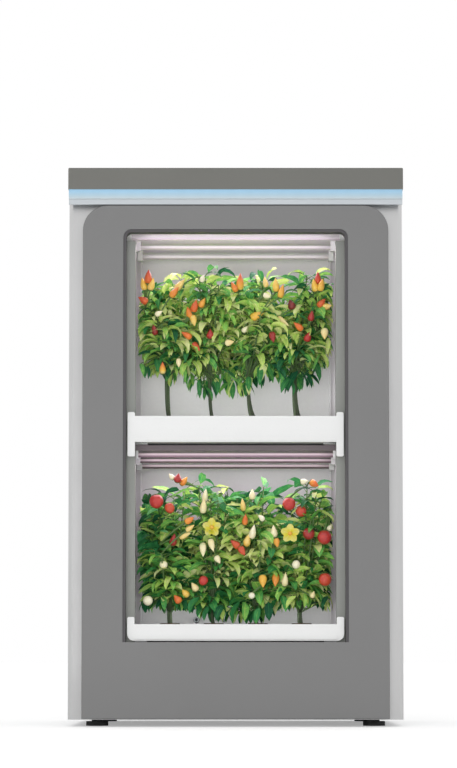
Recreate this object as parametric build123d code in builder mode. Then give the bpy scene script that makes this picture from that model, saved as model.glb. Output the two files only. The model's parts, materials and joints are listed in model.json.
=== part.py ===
from build123d import *
import os

os.makedirs("parts", exist_ok=True)

# Grow cabinet: two lit planting tiers behind a hinged door with an open window.
# Millimetres, +Z up, front towards -Y, origin on the floor under the middle of the cabinet.

# Overall size
cabinet_width = 600.0
cabinet_depth = 450.0
cabinet_height = 1000.0
foot_height = 12.0
bumper_depth = 8.0

# Outer case
sheet = 2.0
flange_width = 20.0
pan_height = 22.0
cap_height = 39.0
cap_wall = 3.0
cap_edge_radius = 2.5
strip_height = 17.0
strip_wall = 5.0
strip_inset = 1.0
top_plate_thick = 3.0
frame_thick = 12.0
frame_edge_radius = 8.0
frame_foot_bar = 22.0
crossbar_height = 24.0
opening_rise = 4.0

# Door and its window
door_thick = 24.0
door_skin = 3.0
door_edge_radius = 2.0
door_corner_radius = 45.0
door_bottom_gap = 2.0
side_reveal = 26.5
header_reveal = 12.0
header_gap = 2.0
seal_gap = 3.0
seal_width = 10.0
seal_offset = 14.0
seal_clearance = 0.3
window_side_margin = 72.5
window_top_margin = 43.0
window_bottom_margin = 136.0
window_top_radius = 15.0
sill_drop = 10.0
trim_width = 5.0
trim_setback = 2.0
door_liner_thick = 3.0
liner_fit = 0.3
pull_length = 110.0
pull_depth = 14.0
pull_height = 600.0

# Door hinge
hinge_edge_inset = 7.0
hinge_face_depth = 10.0
hinge_end_distance = 110.0
pin_radius = 3.0
pin_clearance = 0.05
eye_radius = 5.5
arm_width = 8.0
bracket_height = 24.0
notch_clearance = 1.0
notch_reach = 8.0
hinge_block_height = 20.0

# Door catch
magnet_length = 40.0
magnet_width = 9.0
magnet_depth = 8.0
catch_plate_thick = 1.5
catch_height = 480.0

# Growing chamber and its rack
duct_depth = 105.0
chamber_side_wall = 35.0
liner_thick = 3.0
upright_width = 18.0
upright_depth = 18.0
upright_wall = 2.5
upright_reveal = 2.0
upright_setback = 2.0
upright_head_gap = 20.0
rear_upright_gap = 4.0
runner_sheet = 3.0
runner_height = 18.0
runner_ledge = 22.0
run_gap = 0.3

# Trays
tier_slack = 29.0
upper_fascia_height = 46.5
lower_fascia_height = 29.5
lower_foot_radius = 12.0
fascia_thick = 6.0
fascia_setback = 10.0
fascia_side_clear = 3.0
fascia_bottom_clear = 2.5
ear_width = 13.0
upper_ear_rise = 7.0
upper_ear_drop = 26.0
lower_ear_rise = 13.0
ear_radius = 3.0
lip_height = 5.0
lip_reach = 3.0
lip_rise = 3.0
tray_wall = 3.0
tray_side_clear = 7.0
tray_back_clear = 12.0
deck_thick = 3.0
deck_drop = 1.0
feed_slot = 25.0

# Planting positions
columns = 4
rows = 2
column_margin = 20.0
row_margin = 24.0
pot_share = 0.3125
pot_taper = 4.0
pot_depth = 18.0
pot_wall = 2.0
pot_rim = 4.0
pot_hole_clearance = 0.6
root_hole_share = 0.32
plug_clearance = 0.8
plug_proud = 2.0

# Pepper plants
stem_radius = 3.5
bush_column_gap = 2.0
bush_row_gap = 6.0
bush_round_share = 0.38
bush_end_share = 0.25
upper_stem_height = 38.0
lower_stem_height = 12.0
upper_headroom = 39.0
lower_headroom = 23.0

# Grow lights
tube_radius = 4.0
tube_end_gap = 4.0
tube_count = 3
tube_back_gap = 63.0
tube_fall = 3.0
tube_gap = 3.5
first_tube = 18.0
socket_length = 9.0
socket_width = 16.0
socket_drop = 3.0
housing_height = 9.0
housing_tail = 22.0
housing_front_gap = 2.0

# Water tank, pump and riser
bay_width = 258.0
tank_side_gap = 8.0
tank_front_gap = 20.0
tank_back_gap = 18.0
tank_headroom = 24.0
tank_wall = 3.0
tank_corner_radius = 6.0
filler_radius = 24.0
filler_cap_height = 12.0
filler_setback = 70.0
pump_radius = 24.0
pump_height = 46.0
pump_leg_height = 5.0
pump_leg_radius = 3.0
pump_cover_thick = 3.0
pump_intake_radius = 8.0
chamber_radius = 18.0
chamber_height = 14.0
impeller_radius = 15.0
impeller_hub_radius = 6.0
impeller_height = 9.0
impeller_gap = 2.0
vane_count = 6
vane_thick = 2.0
pump_shaft_radius = 2.0
pump_shaft_length = 16.0
shaft_clearance = 0.05
nozzle_radius = 4.0
nozzle_height = 14.0
riser_radius = 6.0
riser_bore = 4.2
riser_hole_clearance = 0.8
spout_radius = 5.0
spout_rise = 14.0
spout_overlap = 15.0

# Fan in the back panel
fan_size = 120.0
fan_depth = 25.0
fan_drop = 140.0
fan_duct_radius = 57.0
fan_blade_radius = 54.0
fan_hub_radius = 20.0
fan_hub_gap = 1.0
fan_hub_length = 17.0
fan_strut_depth = 4.0
fan_strut_width = 5.0
fan_shaft_radius = 2.5
blade_count = 7
blade_width = 24.0
blade_thick = 1.6
blade_pitch = 34.0
guard_thick = 2.0
guard_wire = 2.5
guard_ring_pitch = 11.0
guard_rings = 5

# Vents
vent_slot_length = 60.0
vent_slot_width = 5.0
vent_slot_pitch = 14.0
vent_slots = 6

# Power and control
inlet_offset = 110.0
switch_offset = 55.0
power_height = 62.0
inlet_width = 28.0
inlet_height = 20.0
inlet_depth = 22.0
inlet_flange = 5.0
inlet_wall = 2.0
inlet_pin_width = 2.0
inlet_pin_height = 4.0
inlet_pin_pitch = 7.0
plate_lip = 1.5
switch_width = 14.0
switch_half = 9.0
switch_proud = 2.5
switch_dip = 1.2
switch_back = 2.5
switch_tilt = 8.0
switch_gap = 0.5
switch_pivot_depth = 1.0
switch_axle_radius = 1.5
switch_axle_reach = 1.5
bezel_wall = 3.0
bezel_depth = 14.0
supply_width = 110.0
supply_depth = 110.0
supply_height = 50.0
supply_gap = 22.0
supply_back_gap = 55.0
supply_edge_radius = 3.0
board_width = 130.0
board_depth = 80.0
board_thick = 1.6
standoff_height = 8.0
standoff_radius = 3.0
standoff_inset = 6.0
chip_size = 22.0
chip_height = 3.0
led_board_end = 29.0
led_board_height = 12.0
led_board_gap = 8.0

# Feet, bumpers and screws
foot_radius = 20.0
foot_pad_height = 8.0
stud_radius = 5.0
stud_length = 18.0
stud_clearance = 0.3
foot_inset_x = 50.0
foot_inset_y = 45.0
bumper_radius = 14.0
bumper_inset_x = 60.0
bumper_low = 70.0
bumper_drop = 90.0
screw_radius = 2.0
screw_clearance = 0.3
screw_head_radius = 4.0
screw_head_height = 2.0
screw_length = 8.0
screw_count = 5
screw_end_margin = 60.0

# Levels and planes worked out from the sizes above
half_width = cabinet_width / 2
door_front = -cabinet_depth / 2
door_back = door_front + door_thick
frame_front = door_back + seal_gap
frame_back = frame_front + frame_thick
case_back = cabinet_depth / 2 - bumper_depth
panel_front = case_back - sheet
inner_half = half_width - sheet

body_bottom = foot_height
pan_top = body_bottom + sheet
cap_bottom = cabinet_height - cap_height
strip_bottom = cap_bottom - strip_height
plate_bottom = strip_bottom - top_plate_thick

door_top = strip_bottom - header_reveal
door_bottom = body_bottom + door_bottom_gap
door_middle = (door_top + door_bottom) / 2
door_height = door_top - door_bottom
door_half = half_width - side_reveal
window_half = door_half - window_side_margin
window_top = door_top - window_top_margin
window_bottom = door_bottom + window_bottom_margin
window_middle = (window_top + window_bottom) / 2
window_height = window_top - window_bottom
wall_middle = window_middle - sill_drop / 2
wall_height = window_height + sill_drop
clear_half = window_half - trim_width

pivot_x = -door_half + hinge_edge_inset
pivot_y = door_front + hinge_face_depth
hinge_levels = (door_bottom + hinge_end_distance, door_top - hinge_end_distance)
notch_half = bracket_height / 2 + notch_clearance
notch_right = pivot_x + notch_reach

upright_outer = clear_half + upright_reveal
upright_inner = upright_outer - upright_width
upright_front = frame_front + upright_setback
upright_back = upright_front + upright_depth
opening_top = window_top + opening_rise
ceiling_bottom = opening_top + housing_height
floor_top = window_bottom
floor_bottom = floor_top - liner_thick
liner_inner = half_width - chamber_side_wall - liner_thick
liner_outer = half_width - chamber_side_wall
back_liner_back = panel_front - duct_depth
back_liner_front = back_liner_back - liner_thick
rear_upright_back = back_liner_front - rear_upright_gap
rear_upright_front = rear_upright_back - upright_depth

fascia_front = door_front + fascia_setback
fascia_back = fascia_front + fascia_thick
fascia_half = clear_half - fascia_side_clear
tray_half = upright_inner - runner_sheet - tray_side_clear
tray_back = back_liner_front - tray_back_clear
deck_back = tray_back - feed_slot
column_pitch = (2 * tray_half - column_margin) / columns
row_pitch = (tray_back - fascia_back - 2 * row_margin) / rows
row_middle = (tray_back + fascia_back) / 2
pot_radius = pot_share * column_pitch
root_hole_radius = root_hole_share * pot_radius
bush_width = column_pitch - bush_column_gap
bush_depth = row_pitch - bush_row_gap
bush_side_radius = bush_round_share * bush_width
bush_end_radius = bush_end_share * bush_width
lower_base = window_bottom + fascia_bottom_clear
tier_pitch = (window_height - tier_slack) / 2
upper_base = lower_base + tier_pitch
plug_radius = pot_radius - pot_taper - pot_wall - plug_clearance

riser_y = (back_liner_back + panel_front) / 2
tank_left = -upright_outer + tank_side_gap
tank_right = inner_half - bay_width
riser_x = (tank_left + tank_right) / 2
tank_front = frame_back + tank_front_gap
tank_back = panel_front - tank_back_gap
tank_top = floor_bottom - tank_headroom
tank_floor = pan_top + tank_wall
pump_base = tank_floor + pump_leg_height + pump_cover_thick
pump_top = pump_base + pump_height
filler_y = tank_front + filler_setback
fan_level = ceiling_bottom - fan_drop
power_level = body_bottom + power_height
inlet_x = tank_right + inlet_offset
switch_x = tank_right + switch_offset


def front_plane(y):
    """Plane facing the front at depth y, with its sketch axes along X and Z."""
    return Plane.XZ.offset(-y)


def fill(x, y, z, mode=Mode.ADD):
    """Box between the two ends given for each of x, y and z."""
    with Locations((sum(x) / 2, sum(y) / 2, sum(z) / 2)):
        Box(x[1] - x[0], y[1] - y[0], z[1] - z[0], mode=mode)


def save(piece, name):
    """Label a finished piece and write its STEP file."""
    piece.part.label = name
    export_step(piece.part, f"parts/{name}.step")


def tray_bottom(base):
    """Underside of the tray whose front starts at the level base."""
    return base - fascia_bottom_clear + runner_sheet + run_gap


def deck_top(base, fascia_height):
    """Upper face of the planting deck of the tray whose front starts at base."""
    return base + fascia_height - deck_drop


# Places of the door catches along the free edge of the door
magnet_right = door_half - door_skin - seal_width
magnet_x = (magnet_right - magnet_width, magnet_right)
magnet_levels = (catch_height - magnet_length, catch_height + magnet_length)
magnet_spans = [(level - magnet_length / 2, level + magnet_length / 2) for level in magnet_levels]

# Front frame: silver face with an opening for the trays and one for the tank
with BuildPart() as front_frame:
    fill((-half_width, half_width), (frame_front, frame_back), (body_bottom, plate_bottom))
    front_edges = front_frame.edges().filter_by(Axis.Z).group_by(Axis.Y)[0]
    fillet(front_edges, frame_edge_radius)
    tray_opening = (floor_top, opening_top)
    base_opening = (body_bottom + frame_foot_bar, floor_top - crossbar_height)
    for opening_z in (tray_opening, base_opening):
        fill((-upright_outer, upright_outer), (frame_front, frame_back), opening_z, Mode.SUBTRACT)
    for magnet_z in magnet_spans:
        fill(magnet_x, (frame_front, frame_front + magnet_depth), magnet_z, Mode.SUBTRACT)
save(front_frame, "front_frame")

# Door catch: magnets set flush in the frame, steel plates on the door
with BuildPart() as catch_magnets:
    for magnet_z in magnet_spans:
        fill(magnet_x, (frame_front, frame_front + magnet_depth), magnet_z)
save(catch_magnets, "catch_magnets")

with BuildPart() as catch_plates:
    for magnet_z in magnet_spans:
        fill(magnet_x, (door_back, door_back + catch_plate_thick), magnet_z)
save(catch_plates, "catch_plates")

# Side panels: folded sheets with a flange at the front and at the back
screw_span = plate_bottom - body_bottom - 2 * screw_end_margin
screw_pitch = screw_span / (screw_count - 1)
screw_levels = [body_bottom + screw_end_margin + screw_pitch * i for i in range(screw_count)]
screw_x = inner_half - flange_width / 2
for side, name in ((-1, "left_side_panel"), (1, "right_side_panel")):
    with BuildPart() as side_panel:
        skin_x = sorted((side * inner_half, side * half_width))
        flange_x = sorted((side * (inner_half - flange_width), side * inner_half))
        panel_z = (body_bottom, plate_bottom)
        fill(skin_x, (frame_back, panel_front), panel_z)
        fill(flange_x, (frame_back, frame_back + sheet), (body_bottom + pan_height, plate_bottom))
        fill(flange_x, (panel_front - sheet, panel_front), (body_bottom + pan_height, plate_bottom))
        for level in screw_levels:
            with Locations(Location((side * screw_x, panel_front, level), (90, 0, 0))):
                Cylinder(screw_radius + screw_clearance, 4 * sheet, mode=Mode.SUBTRACT)
    save(side_panel, name)

# Base pan: shallow folded tray that carries the tank and the power supply
foot_x = half_width - foot_inset_x
foot_y = (frame_back + foot_inset_y, panel_front - foot_inset_y)
foot_points = [(x, y) for x in (-foot_x, foot_x) for y in foot_y]
with BuildPart() as base_pan:
    fill((-inner_half, inner_half), (frame_back, panel_front), (body_bottom, body_bottom + pan_height))
    pan_inner = inner_half - sheet
    pan_y = (frame_back + sheet, panel_front - sheet)
    fill((-pan_inner, pan_inner), pan_y, (pan_top, body_bottom + pan_height), Mode.SUBTRACT)
    for x, y in foot_points:
        with Locations((x, y, body_bottom)):
            Cylinder(stud_radius + stud_clearance, 3 * sheet, mode=Mode.SUBTRACT)
save(base_pan, "base_pan")

# Levelling feet: rubber pad with a stud through the base pan and a nut under it
with BuildPart() as levelling_feet:
    for x, y in foot_points:
        with Locations((x, y, 0)):
            Cylinder(foot_radius, foot_pad_height, align=(Align.CENTER, Align.CENTER, Align.MIN))
        with Locations((x, y, foot_pad_height)):
            nut_height = foot_height - foot_pad_height
            Cylinder(2 * stud_radius, nut_height, align=(Align.CENTER, Align.CENTER, Align.MIN))
            Cylinder(stud_radius, stud_length, align=(Align.CENTER, Align.CENTER, Align.MIN))
save(levelling_feet, "levelling_feet")

# Back panel with the fan hole, intake slots and the holes for inlet and switch
with BuildPart() as back_panel:
    fill((-half_width, half_width), (panel_front, case_back), (body_bottom, cap_bottom))
    with Locations(Location((0, case_back, fan_level), (90, 0, 0))):
        Cylinder(fan_duct_radius, 4 * sheet, mode=Mode.SUBTRACT)
    vent_middle = (floor_top + fan_level - fan_size / 2) / 2
    for i in range(vent_slots):
        slot_middle = vent_middle + (i - (vent_slots - 1) / 2) * vent_slot_pitch
        slot_z = (slot_middle - vent_slot_width / 2, slot_middle + vent_slot_width / 2)
        fill((-vent_slot_length, vent_slot_length), (panel_front, case_back), slot_z, Mode.SUBTRACT)
    inlet_x_span = (inlet_x - inlet_width / 2, inlet_x + inlet_width / 2)
    inlet_z_span = (power_level - inlet_height / 2, power_level + inlet_height / 2)
    fill(inlet_x_span, (panel_front, case_back), inlet_z_span, Mode.SUBTRACT)
    switch_radius = (switch_half**2 + switch_proud**2) ** 0.5
    body_half_x = switch_width / 2 + switch_gap + bezel_wall
    body_half_z = switch_radius + switch_gap + bezel_wall
    switch_x_span = (switch_x - body_half_x, switch_x + body_half_x)
    switch_z_span = (power_level - body_half_z, power_level + body_half_z)
    fill(switch_x_span, (panel_front, case_back), switch_z_span, Mode.SUBTRACT)
    for side in (-1, 1):
        for level in screw_levels:
            with Locations(Location((side * screw_x, case_back, level), (90, 0, 0))):
                Cylinder(screw_radius + screw_clearance, 4 * sheet, mode=Mode.SUBTRACT)
save(back_panel, "back_panel")

# Screws that hold the back panel to the side flanges
with BuildPart() as back_screws:
    for side in (-1, 1):
        for level in screw_levels:
            head_plane = Plane((side * screw_x, case_back, level), z_dir=(0, 1, 0))
            with Locations(head_plane.location):
                Cylinder(screw_head_radius, screw_head_height, align=(Align.CENTER, Align.CENTER, Align.MIN))
                Cylinder(screw_radius, screw_length, align=(Align.CENTER, Align.CENTER, Align.MAX))
save(back_screws, "back_screws")

# Rear bumpers keep an air gap to the wall
bumper_x = half_width - bumper_inset_x
with BuildPart() as rear_bumpers:
    for x in (-bumper_x, bumper_x):
        for level in (body_bottom + bumper_low, plate_bottom - bumper_drop):
            with Locations(Plane((x, case_back, level), z_dir=(0, 1, 0)).location):
                Cylinder(bumper_radius, bumper_depth, align=(Align.CENTER, Align.CENTER, Align.MIN))
save(rear_bumpers, "rear_bumpers")

# Top plate closes the case, reaches forward under the cap and turns down over the door
strip_front = door_front + strip_inset
strip_half = half_width - strip_inset
with BuildPart() as top_plate:
    plate_y = (strip_front + strip_wall / 2, panel_front)
    fill((-strip_half, strip_half), plate_y, (plate_bottom, strip_bottom))
    turned_edge = (plate_y[0], plate_y[0] + top_plate_thick)
    fill((-strip_half, strip_half), turned_edge, (door_top + header_gap, plate_bottom))
    with Locations((0, 0, strip_bottom)):
        with GridLocations(board_width - 2 * standoff_inset, board_depth - 2 * standoff_inset, 2, 2):
            Cylinder(standoff_radius, standoff_height, align=(Align.CENTER, Align.CENTER, Align.MIN))
save(top_plate, "top_plate")

# Light strip: translucent band round the front and both sides, under the cap
with BuildPart() as light_strip:
    fill((-strip_half, strip_half), (strip_front, panel_front), (strip_bottom, cap_bottom))
    band_half = strip_half - strip_wall
    band_y = (strip_front + strip_wall, panel_front)
    fill((-band_half, band_half), band_y, (strip_bottom, cap_bottom), Mode.SUBTRACT)
save(light_strip, "light_strip")

# Board of small lamps behind the front of the strip
with BuildPart() as strip_light_board:
    board_y = strip_front + strip_wall + led_board_gap
    fill(
        (led_board_end - strip_half, strip_half - led_board_end),
        (board_y, board_y + board_thick),
        (strip_bottom, strip_bottom + led_board_height),
    )
save(strip_light_board, "strip_light_board")

# Top cap: grey cover, hollow from below
with BuildPart() as top_cap:
    fill((-half_width, half_width), (door_front, case_back), (cap_bottom, cabinet_height))
    fillet(top_cap.faces().sort_by(Axis.Z)[-1].edges(), cap_edge_radius)
    cap_inner = half_width - cap_wall
    cap_y = (door_front + cap_wall, case_back - cap_wall)
    fill((-cap_inner, cap_inner), cap_y, (cap_bottom, cabinet_height - cap_wall), Mode.SUBTRACT)
save(top_cap, "top_cap")

# Control board on the bosses of the top plate
board_bottom = strip_bottom + standoff_height
with BuildPart(Plane.XY.offset(board_bottom)) as control_board:
    Box(board_width, board_depth, board_thick, align=(Align.CENTER, Align.CENTER, Align.MIN))
    with Locations((0, 0, board_thick)):
        with GridLocations(2 * chip_size, 0, 2, 1):
            Box(chip_size, chip_size, chip_height, align=(Align.CENTER, Align.CENTER, Align.MIN))
save(control_board, "control_board")

# Chamber floor, ceiling and liners
with BuildPart() as chamber_floor:
    fill((-inner_half, inner_half), (frame_back + sheet, back_liner_back), (floor_bottom, floor_top))
save(chamber_floor, "chamber_floor")

with BuildPart() as chamber_ceiling:
    ceiling_z = (ceiling_bottom, ceiling_bottom + liner_thick)
    fill((-inner_half, inner_half), (frame_back + sheet, back_liner_back), ceiling_z)
save(chamber_ceiling, "chamber_ceiling")

with BuildPart() as side_liners:
    for side in (-1, 1):
        liner_x = sorted((side * liner_inner, side * liner_outer))
        fill(liner_x, (frame_back, back_liner_front), (floor_top, ceiling_bottom))
save(side_liners, "side_liners")

spout_levels = [
    deck_top(lower_base, lower_fascia_height) + spout_rise,
    deck_top(upper_base, upper_fascia_height) + spout_rise,
]
with BuildPart() as back_liner:
    fill((-liner_outer, liner_outer), (back_liner_front, back_liner_back), (floor_top, ceiling_bottom))
    for level in spout_levels:
        with Locations(Location((riser_x, back_liner_back, level), (90, 0, 0))):
            Cylinder(spout_radius + riser_hole_clearance, 4 * liner_thick, mode=Mode.SUBTRACT)
    for i in range(vent_slots):
        slot_middle = fan_level + (i - (vent_slots - 1) / 2) * vent_slot_pitch
        slot_z = (slot_middle - vent_slot_width / 2, slot_middle + vent_slot_width / 2)
        slot_y = (back_liner_front, back_liner_back)
        fill((-vent_slot_length, vent_slot_length), slot_y, slot_z, Mode.SUBTRACT)
save(back_liner, "back_liner")

# Uprights: channel posts at the window's sides and at the back of the rack
front_post_top = opening_top - upright_head_gap
front_post = (upright_front, upright_front + upright_wall, upright_back, front_post_top)
rear_post = (rear_upright_front, rear_upright_front, rear_upright_back - upright_wall, ceiling_bottom)
for name, (post_front, groove_front, groove_back, post_top) in (
    ("front_uprights", front_post),
    ("rear_uprights", rear_post),
):
    with BuildPart() as uprights:
        for side in (-1, 1):
            post_x = sorted((side * upright_inner, side * upright_outer))
            groove_x = (post_x[0] + upright_wall, post_x[1] - upright_wall)
            fill(post_x, (post_front, post_front + upright_depth), (floor_top, post_top))
            fill(groove_x, (groove_front, groove_back), (floor_top, post_top), Mode.SUBTRACT)
    save(uprights, name)

# Runners: angle rails from post to post, one pair for each tray
runner_y = (upright_front, rear_upright_back)
with BuildPart() as tray_runners:
    for base in (lower_base, upper_base):
        ledge_bottom = base - fascia_bottom_clear
        for side in (-1, 1):
            leg_x = sorted((side * (upright_inner - runner_sheet), side * upright_inner))
            ledge_x = sorted((side * (upright_inner - runner_ledge), side * upright_inner))
            fill(leg_x, runner_y, (ledge_bottom, ledge_bottom + runner_height))
            fill(ledge_x, runner_y, (ledge_bottom, ledge_bottom + runner_sheet))
save(tray_runners, "tray_runners")

# Grow lights: housing, sockets and tubes over each tier; the foremost tube of the upper tier
# passes over the tops of the front uprights and is longer
housing_front = upright_back + housing_front_gap
front_tube = housing_front + first_tube
back_tube = rear_upright_front - tube_back_gap
tube_spacing = (back_tube - front_tube) / (tube_count - 1)
housing_y = (housing_front, back_tube + housing_tail)
tube_lines = [(front_tube + i * tube_spacing, i * tube_fall) for i in range(tube_count)]
tube_half = upright_inner - tube_end_gap
long_half = upright_outer - socket_length
tube_halves = {
    "lower": [tube_half] * tube_count,
    "upper": [long_half] + [tube_half] * (tube_count - 1),
}
light_tops = {"lower": upper_base - fascia_bottom_clear, "upper": ceiling_bottom}
tube_drop = housing_height + tube_gap + tube_radius
lowest_tube = tube_drop + (tube_count - 1) * tube_fall + tube_radius
for tier, light_top in light_tops.items():
    housing_z = (light_top - housing_height, light_top)
    tube_level = light_top - tube_drop
    housing_half = max(tube_halves[tier]) + socket_length
    with BuildPart() as light_housing:
        fill((-housing_half, housing_half), housing_y, housing_z)
        hollow_half = housing_half - sheet
        hollow_y = (housing_y[0] + sheet, housing_y[1] - sheet)
        fill((-hollow_half, hollow_half), hollow_y, (housing_z[0] + sheet, housing_z[1]), Mode.SUBTRACT)
    save(light_housing, f"{tier}_light_housing")

    with BuildPart() as light_tubes:
        for (y, fall), half in zip(tube_lines, tube_halves[tier]):
            with Locations(Location((0, y, tube_level - fall), (0, 90, 0))):
                Cylinder(tube_radius, 2 * half)
    save(light_tubes, f"{tier}_light_tubes")

with BuildPart() as tube_sockets:
    for tier, light_top in light_tops.items():
        socket_bottom = light_top - tube_drop - tube_radius - socket_drop
        for (y, fall), half in zip(tube_lines, tube_halves[tier]):
            socket_y = (y - socket_width / 2, y + socket_width / 2)
            for side in (-1, 1):
                socket_x = sorted((side * half, side * (half + socket_length)))
                fill(socket_x, socket_y, (socket_bottom - fall, light_top - housing_height))
save(tube_sockets, "tube_sockets")


def planting_tray(tier, base, fascia_height, ear_rise, ear_drop, foot_corner, stem_height, bush_top):
    """Build and save the pieces of one tray: front, box, deck, pots, plugs and plants."""
    fascia_middle = base + fascia_height / 2
    with BuildPart() as fascia:
        with BuildSketch(front_plane(fascia_back)) as fascia_outline:
            with Locations((0, fascia_middle)):
                Rectangle(2 * fascia_half, fascia_height)
            for side in (-1, 1):
                ear_height = fascia_height + ear_rise + ear_drop
                ear_x = side * (fascia_half - ear_width / 2)
                with Locations((ear_x, fascia_middle + (ear_rise - ear_drop) / 2)):
                    Rectangle(ear_width, ear_height)
            fillet(fascia_outline.vertices().group_by(Axis.Y)[0], foot_corner)
            fillet(fascia_outline.vertices().group_by(Axis.Y)[-1], ear_radius)
        extrude(amount=fascia_thick)
        lip_half = fascia_half - ear_width
        lip_z = (base + lip_rise, base + lip_rise + lip_height)
        fill((-lip_half, lip_half), (fascia_front - lip_reach, fascia_front), lip_z)
    save(fascia, f"{tier}_fascia")

    floor_level = tray_bottom(base)
    deck_level = deck_top(base, fascia_height)
    with BuildPart() as tray:
        fill((-tray_half, tray_half), (fascia_back, tray_back), (floor_level, deck_level - deck_thick))
        inner_x = tray_half - tray_wall
        inner_y = (fascia_back + tray_wall, tray_back - tray_wall)
        fill((-inner_x, inner_x), inner_y, (floor_level + tray_wall, deck_level - deck_thick), Mode.SUBTRACT)
    save(tray, f"{tier}_tray")

    with BuildPart() as deck:
        fill((-tray_half, tray_half), (fascia_back, deck_back), (deck_level - deck_thick, deck_level))
        with Locations((0, row_middle, deck_level)):
            with GridLocations(column_pitch, row_pitch, columns, rows):
                Cylinder(pot_radius + pot_hole_clearance, 3 * deck_thick, mode=Mode.SUBTRACT)
    save(deck, f"{tier}_deck")

    seat = (Align.CENTER, Align.CENTER, Align.MIN)
    pot_floor = deck_level - pot_depth
    with BuildPart(Plane((0, row_middle, pot_floor))) as net_pots:
        with GridLocations(column_pitch, row_pitch, columns, rows):
            Cone(pot_radius - pot_taper, pot_radius, pot_depth, align=seat)
        with Locations((0, 0, pot_depth)):
            with GridLocations(column_pitch, row_pitch, columns, rows):
                Cylinder(pot_radius + pot_rim, pot_wall, align=seat)
        with Locations((0, 0, pot_wall)):
            with GridLocations(column_pitch, row_pitch, columns, rows):
                cup = (pot_radius - pot_taper - pot_wall, pot_radius - pot_wall, pot_depth)
                Cone(*cup, align=seat, mode=Mode.SUBTRACT)
        with GridLocations(column_pitch, row_pitch, columns, rows):
            Cylinder(root_hole_radius, 3 * pot_wall, mode=Mode.SUBTRACT)
    save(net_pots, f"{tier}_net_pots")

    plug_top = deck_level + pot_wall + plug_proud
    with BuildPart(Plane((0, row_middle, pot_floor + pot_wall))) as plugs:
        with GridLocations(column_pitch, row_pitch, columns, rows):
            Cylinder(plug_radius, plug_top - pot_floor - pot_wall, align=seat)
    save(plugs, f"{tier}_grow_plugs")

    bush_bottom = plug_top + stem_height
    with BuildPart(Plane((0, row_middle, plug_top))) as plants:
        with Locations((0, 0, stem_height)):
            with GridLocations(column_pitch, row_pitch, columns, rows):
                Box(bush_width, bush_depth, bush_top - bush_bottom, align=seat)
        fillet(plants.edges().filter_by(Axis.Z), bush_side_radius)
        end_faces = plants.faces().filter_by(Axis.Z)
        fillet(end_faces.edges(), bush_end_radius)
        with GridLocations(column_pitch, row_pitch, columns, rows):
            Cylinder(stem_radius, stem_height + bush_end_radius, align=seat)
    save(plants, f"{tier}_plants")


planting_tray(
    "upper", upper_base, upper_fascia_height, upper_ear_rise, upper_ear_drop, ear_radius,
    upper_stem_height, light_tops["upper"] - lowest_tube - upper_headroom,
)
planting_tray(
    "lower", lower_base, lower_fascia_height, lower_ear_rise, 0, lower_foot_radius,
    lower_stem_height, light_tops["lower"] - lowest_tube - lower_headroom,
)

# Door panel: outer skin with its rim and the wall round the window
with BuildPart() as door_panel:
    with BuildSketch(front_plane(door_back)) as door_outline:
        with Locations((0, door_middle)):
            Rectangle(2 * door_half, door_height)
        fillet(door_outline.vertices().group_by(Axis.Y)[-1], door_corner_radius)
    extrude(amount=door_thick)
    fillet(door_panel.faces().sort_by(Axis.Y)[0].edges(), door_edge_radius)
    with BuildSketch(front_plane(door_back)) as door_hollow:
        with Locations((0, door_middle)):
            Rectangle(2 * (door_half - door_skin), door_height - 2 * door_skin)
        fillet(door_hollow.vertices().group_by(Axis.Y)[-1], door_corner_radius - door_skin)
        with Locations((0, wall_middle)):
            Rectangle(2 * (window_half + door_skin), wall_height + 2 * door_skin, mode=Mode.SUBTRACT)
    extrude(amount=door_thick - door_skin, mode=Mode.SUBTRACT)
    with BuildSketch(front_plane(door_back)) as window_cut:
        with Locations((0, window_middle)):
            Rectangle(2 * window_half, window_height)
        fillet(window_cut.vertices().group_by(Axis.Y)[-1], window_top_radius)
    extrude(amount=door_thick, mode=Mode.SUBTRACT)
    sill_z = (window_bottom - sill_drop, window_bottom)
    fill((-window_half, window_half), (door_front + door_skin, door_back), sill_z, Mode.SUBTRACT)
    notch_y = (door_front + door_skin, door_back)
    for level in hinge_levels:
        notch_z = (level - notch_half, level + notch_half)
        fill((-door_half, notch_right), notch_y, notch_z, Mode.SUBTRACT)
    pull_z = (pull_height - pull_length / 2, pull_height + pull_length / 2)
    pull_y = (door_back - pull_depth, door_back)
    fill((door_half - door_skin, door_half), pull_y, pull_z, Mode.SUBTRACT)
save(door_panel, "door_panel")

# Door liner: inner plate set into the back of the door panel
with BuildPart() as door_liner:
    with BuildSketch(front_plane(door_back)) as liner_outline:
        inset = door_skin + liner_fit
        with Locations((0, door_middle)):
            Rectangle(2 * (door_half - inset), door_height - 2 * inset)
        fillet(liner_outline.vertices().group_by(Axis.Y)[-1], door_corner_radius - inset)
        with Locations((0, wall_middle)):
            liner_window = window_half + door_skin + liner_fit
            Rectangle(2 * liner_window, wall_height + 2 * (door_skin + liner_fit), mode=Mode.SUBTRACT)
    extrude(amount=door_liner_thick)
    for level in hinge_levels:
        notch_z = (level - notch_half, level + notch_half)
        fill((-door_half, notch_right), notch_y, notch_z, Mode.SUBTRACT)
    fill((door_half - door_skin - pull_depth, door_half), pull_y, pull_z, Mode.SUBTRACT)
save(door_liner, "door_liner")

# Window trim: dark edging along the top and both sides of the window
with BuildPart() as window_trim:
    with BuildSketch(front_plane(door_back)) as trim_outline:
        with Locations((0, window_middle)):
            Rectangle(2 * window_half, window_height)
        fillet(trim_outline.vertices().group_by(Axis.Y)[-1], window_top_radius)
    extrude(amount=door_thick - trim_setback)
    with BuildSketch(front_plane(door_back)) as trim_hollow:
        with Locations((0, window_middle - trim_width)):
            Rectangle(2 * clear_half, window_height)
        fillet(trim_hollow.vertices().group_by(Axis.Y)[-1], window_top_radius - trim_width)
    extrude(amount=door_thick - trim_setback, mode=Mode.SUBTRACT)
save(window_trim, "window_trim")

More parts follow.
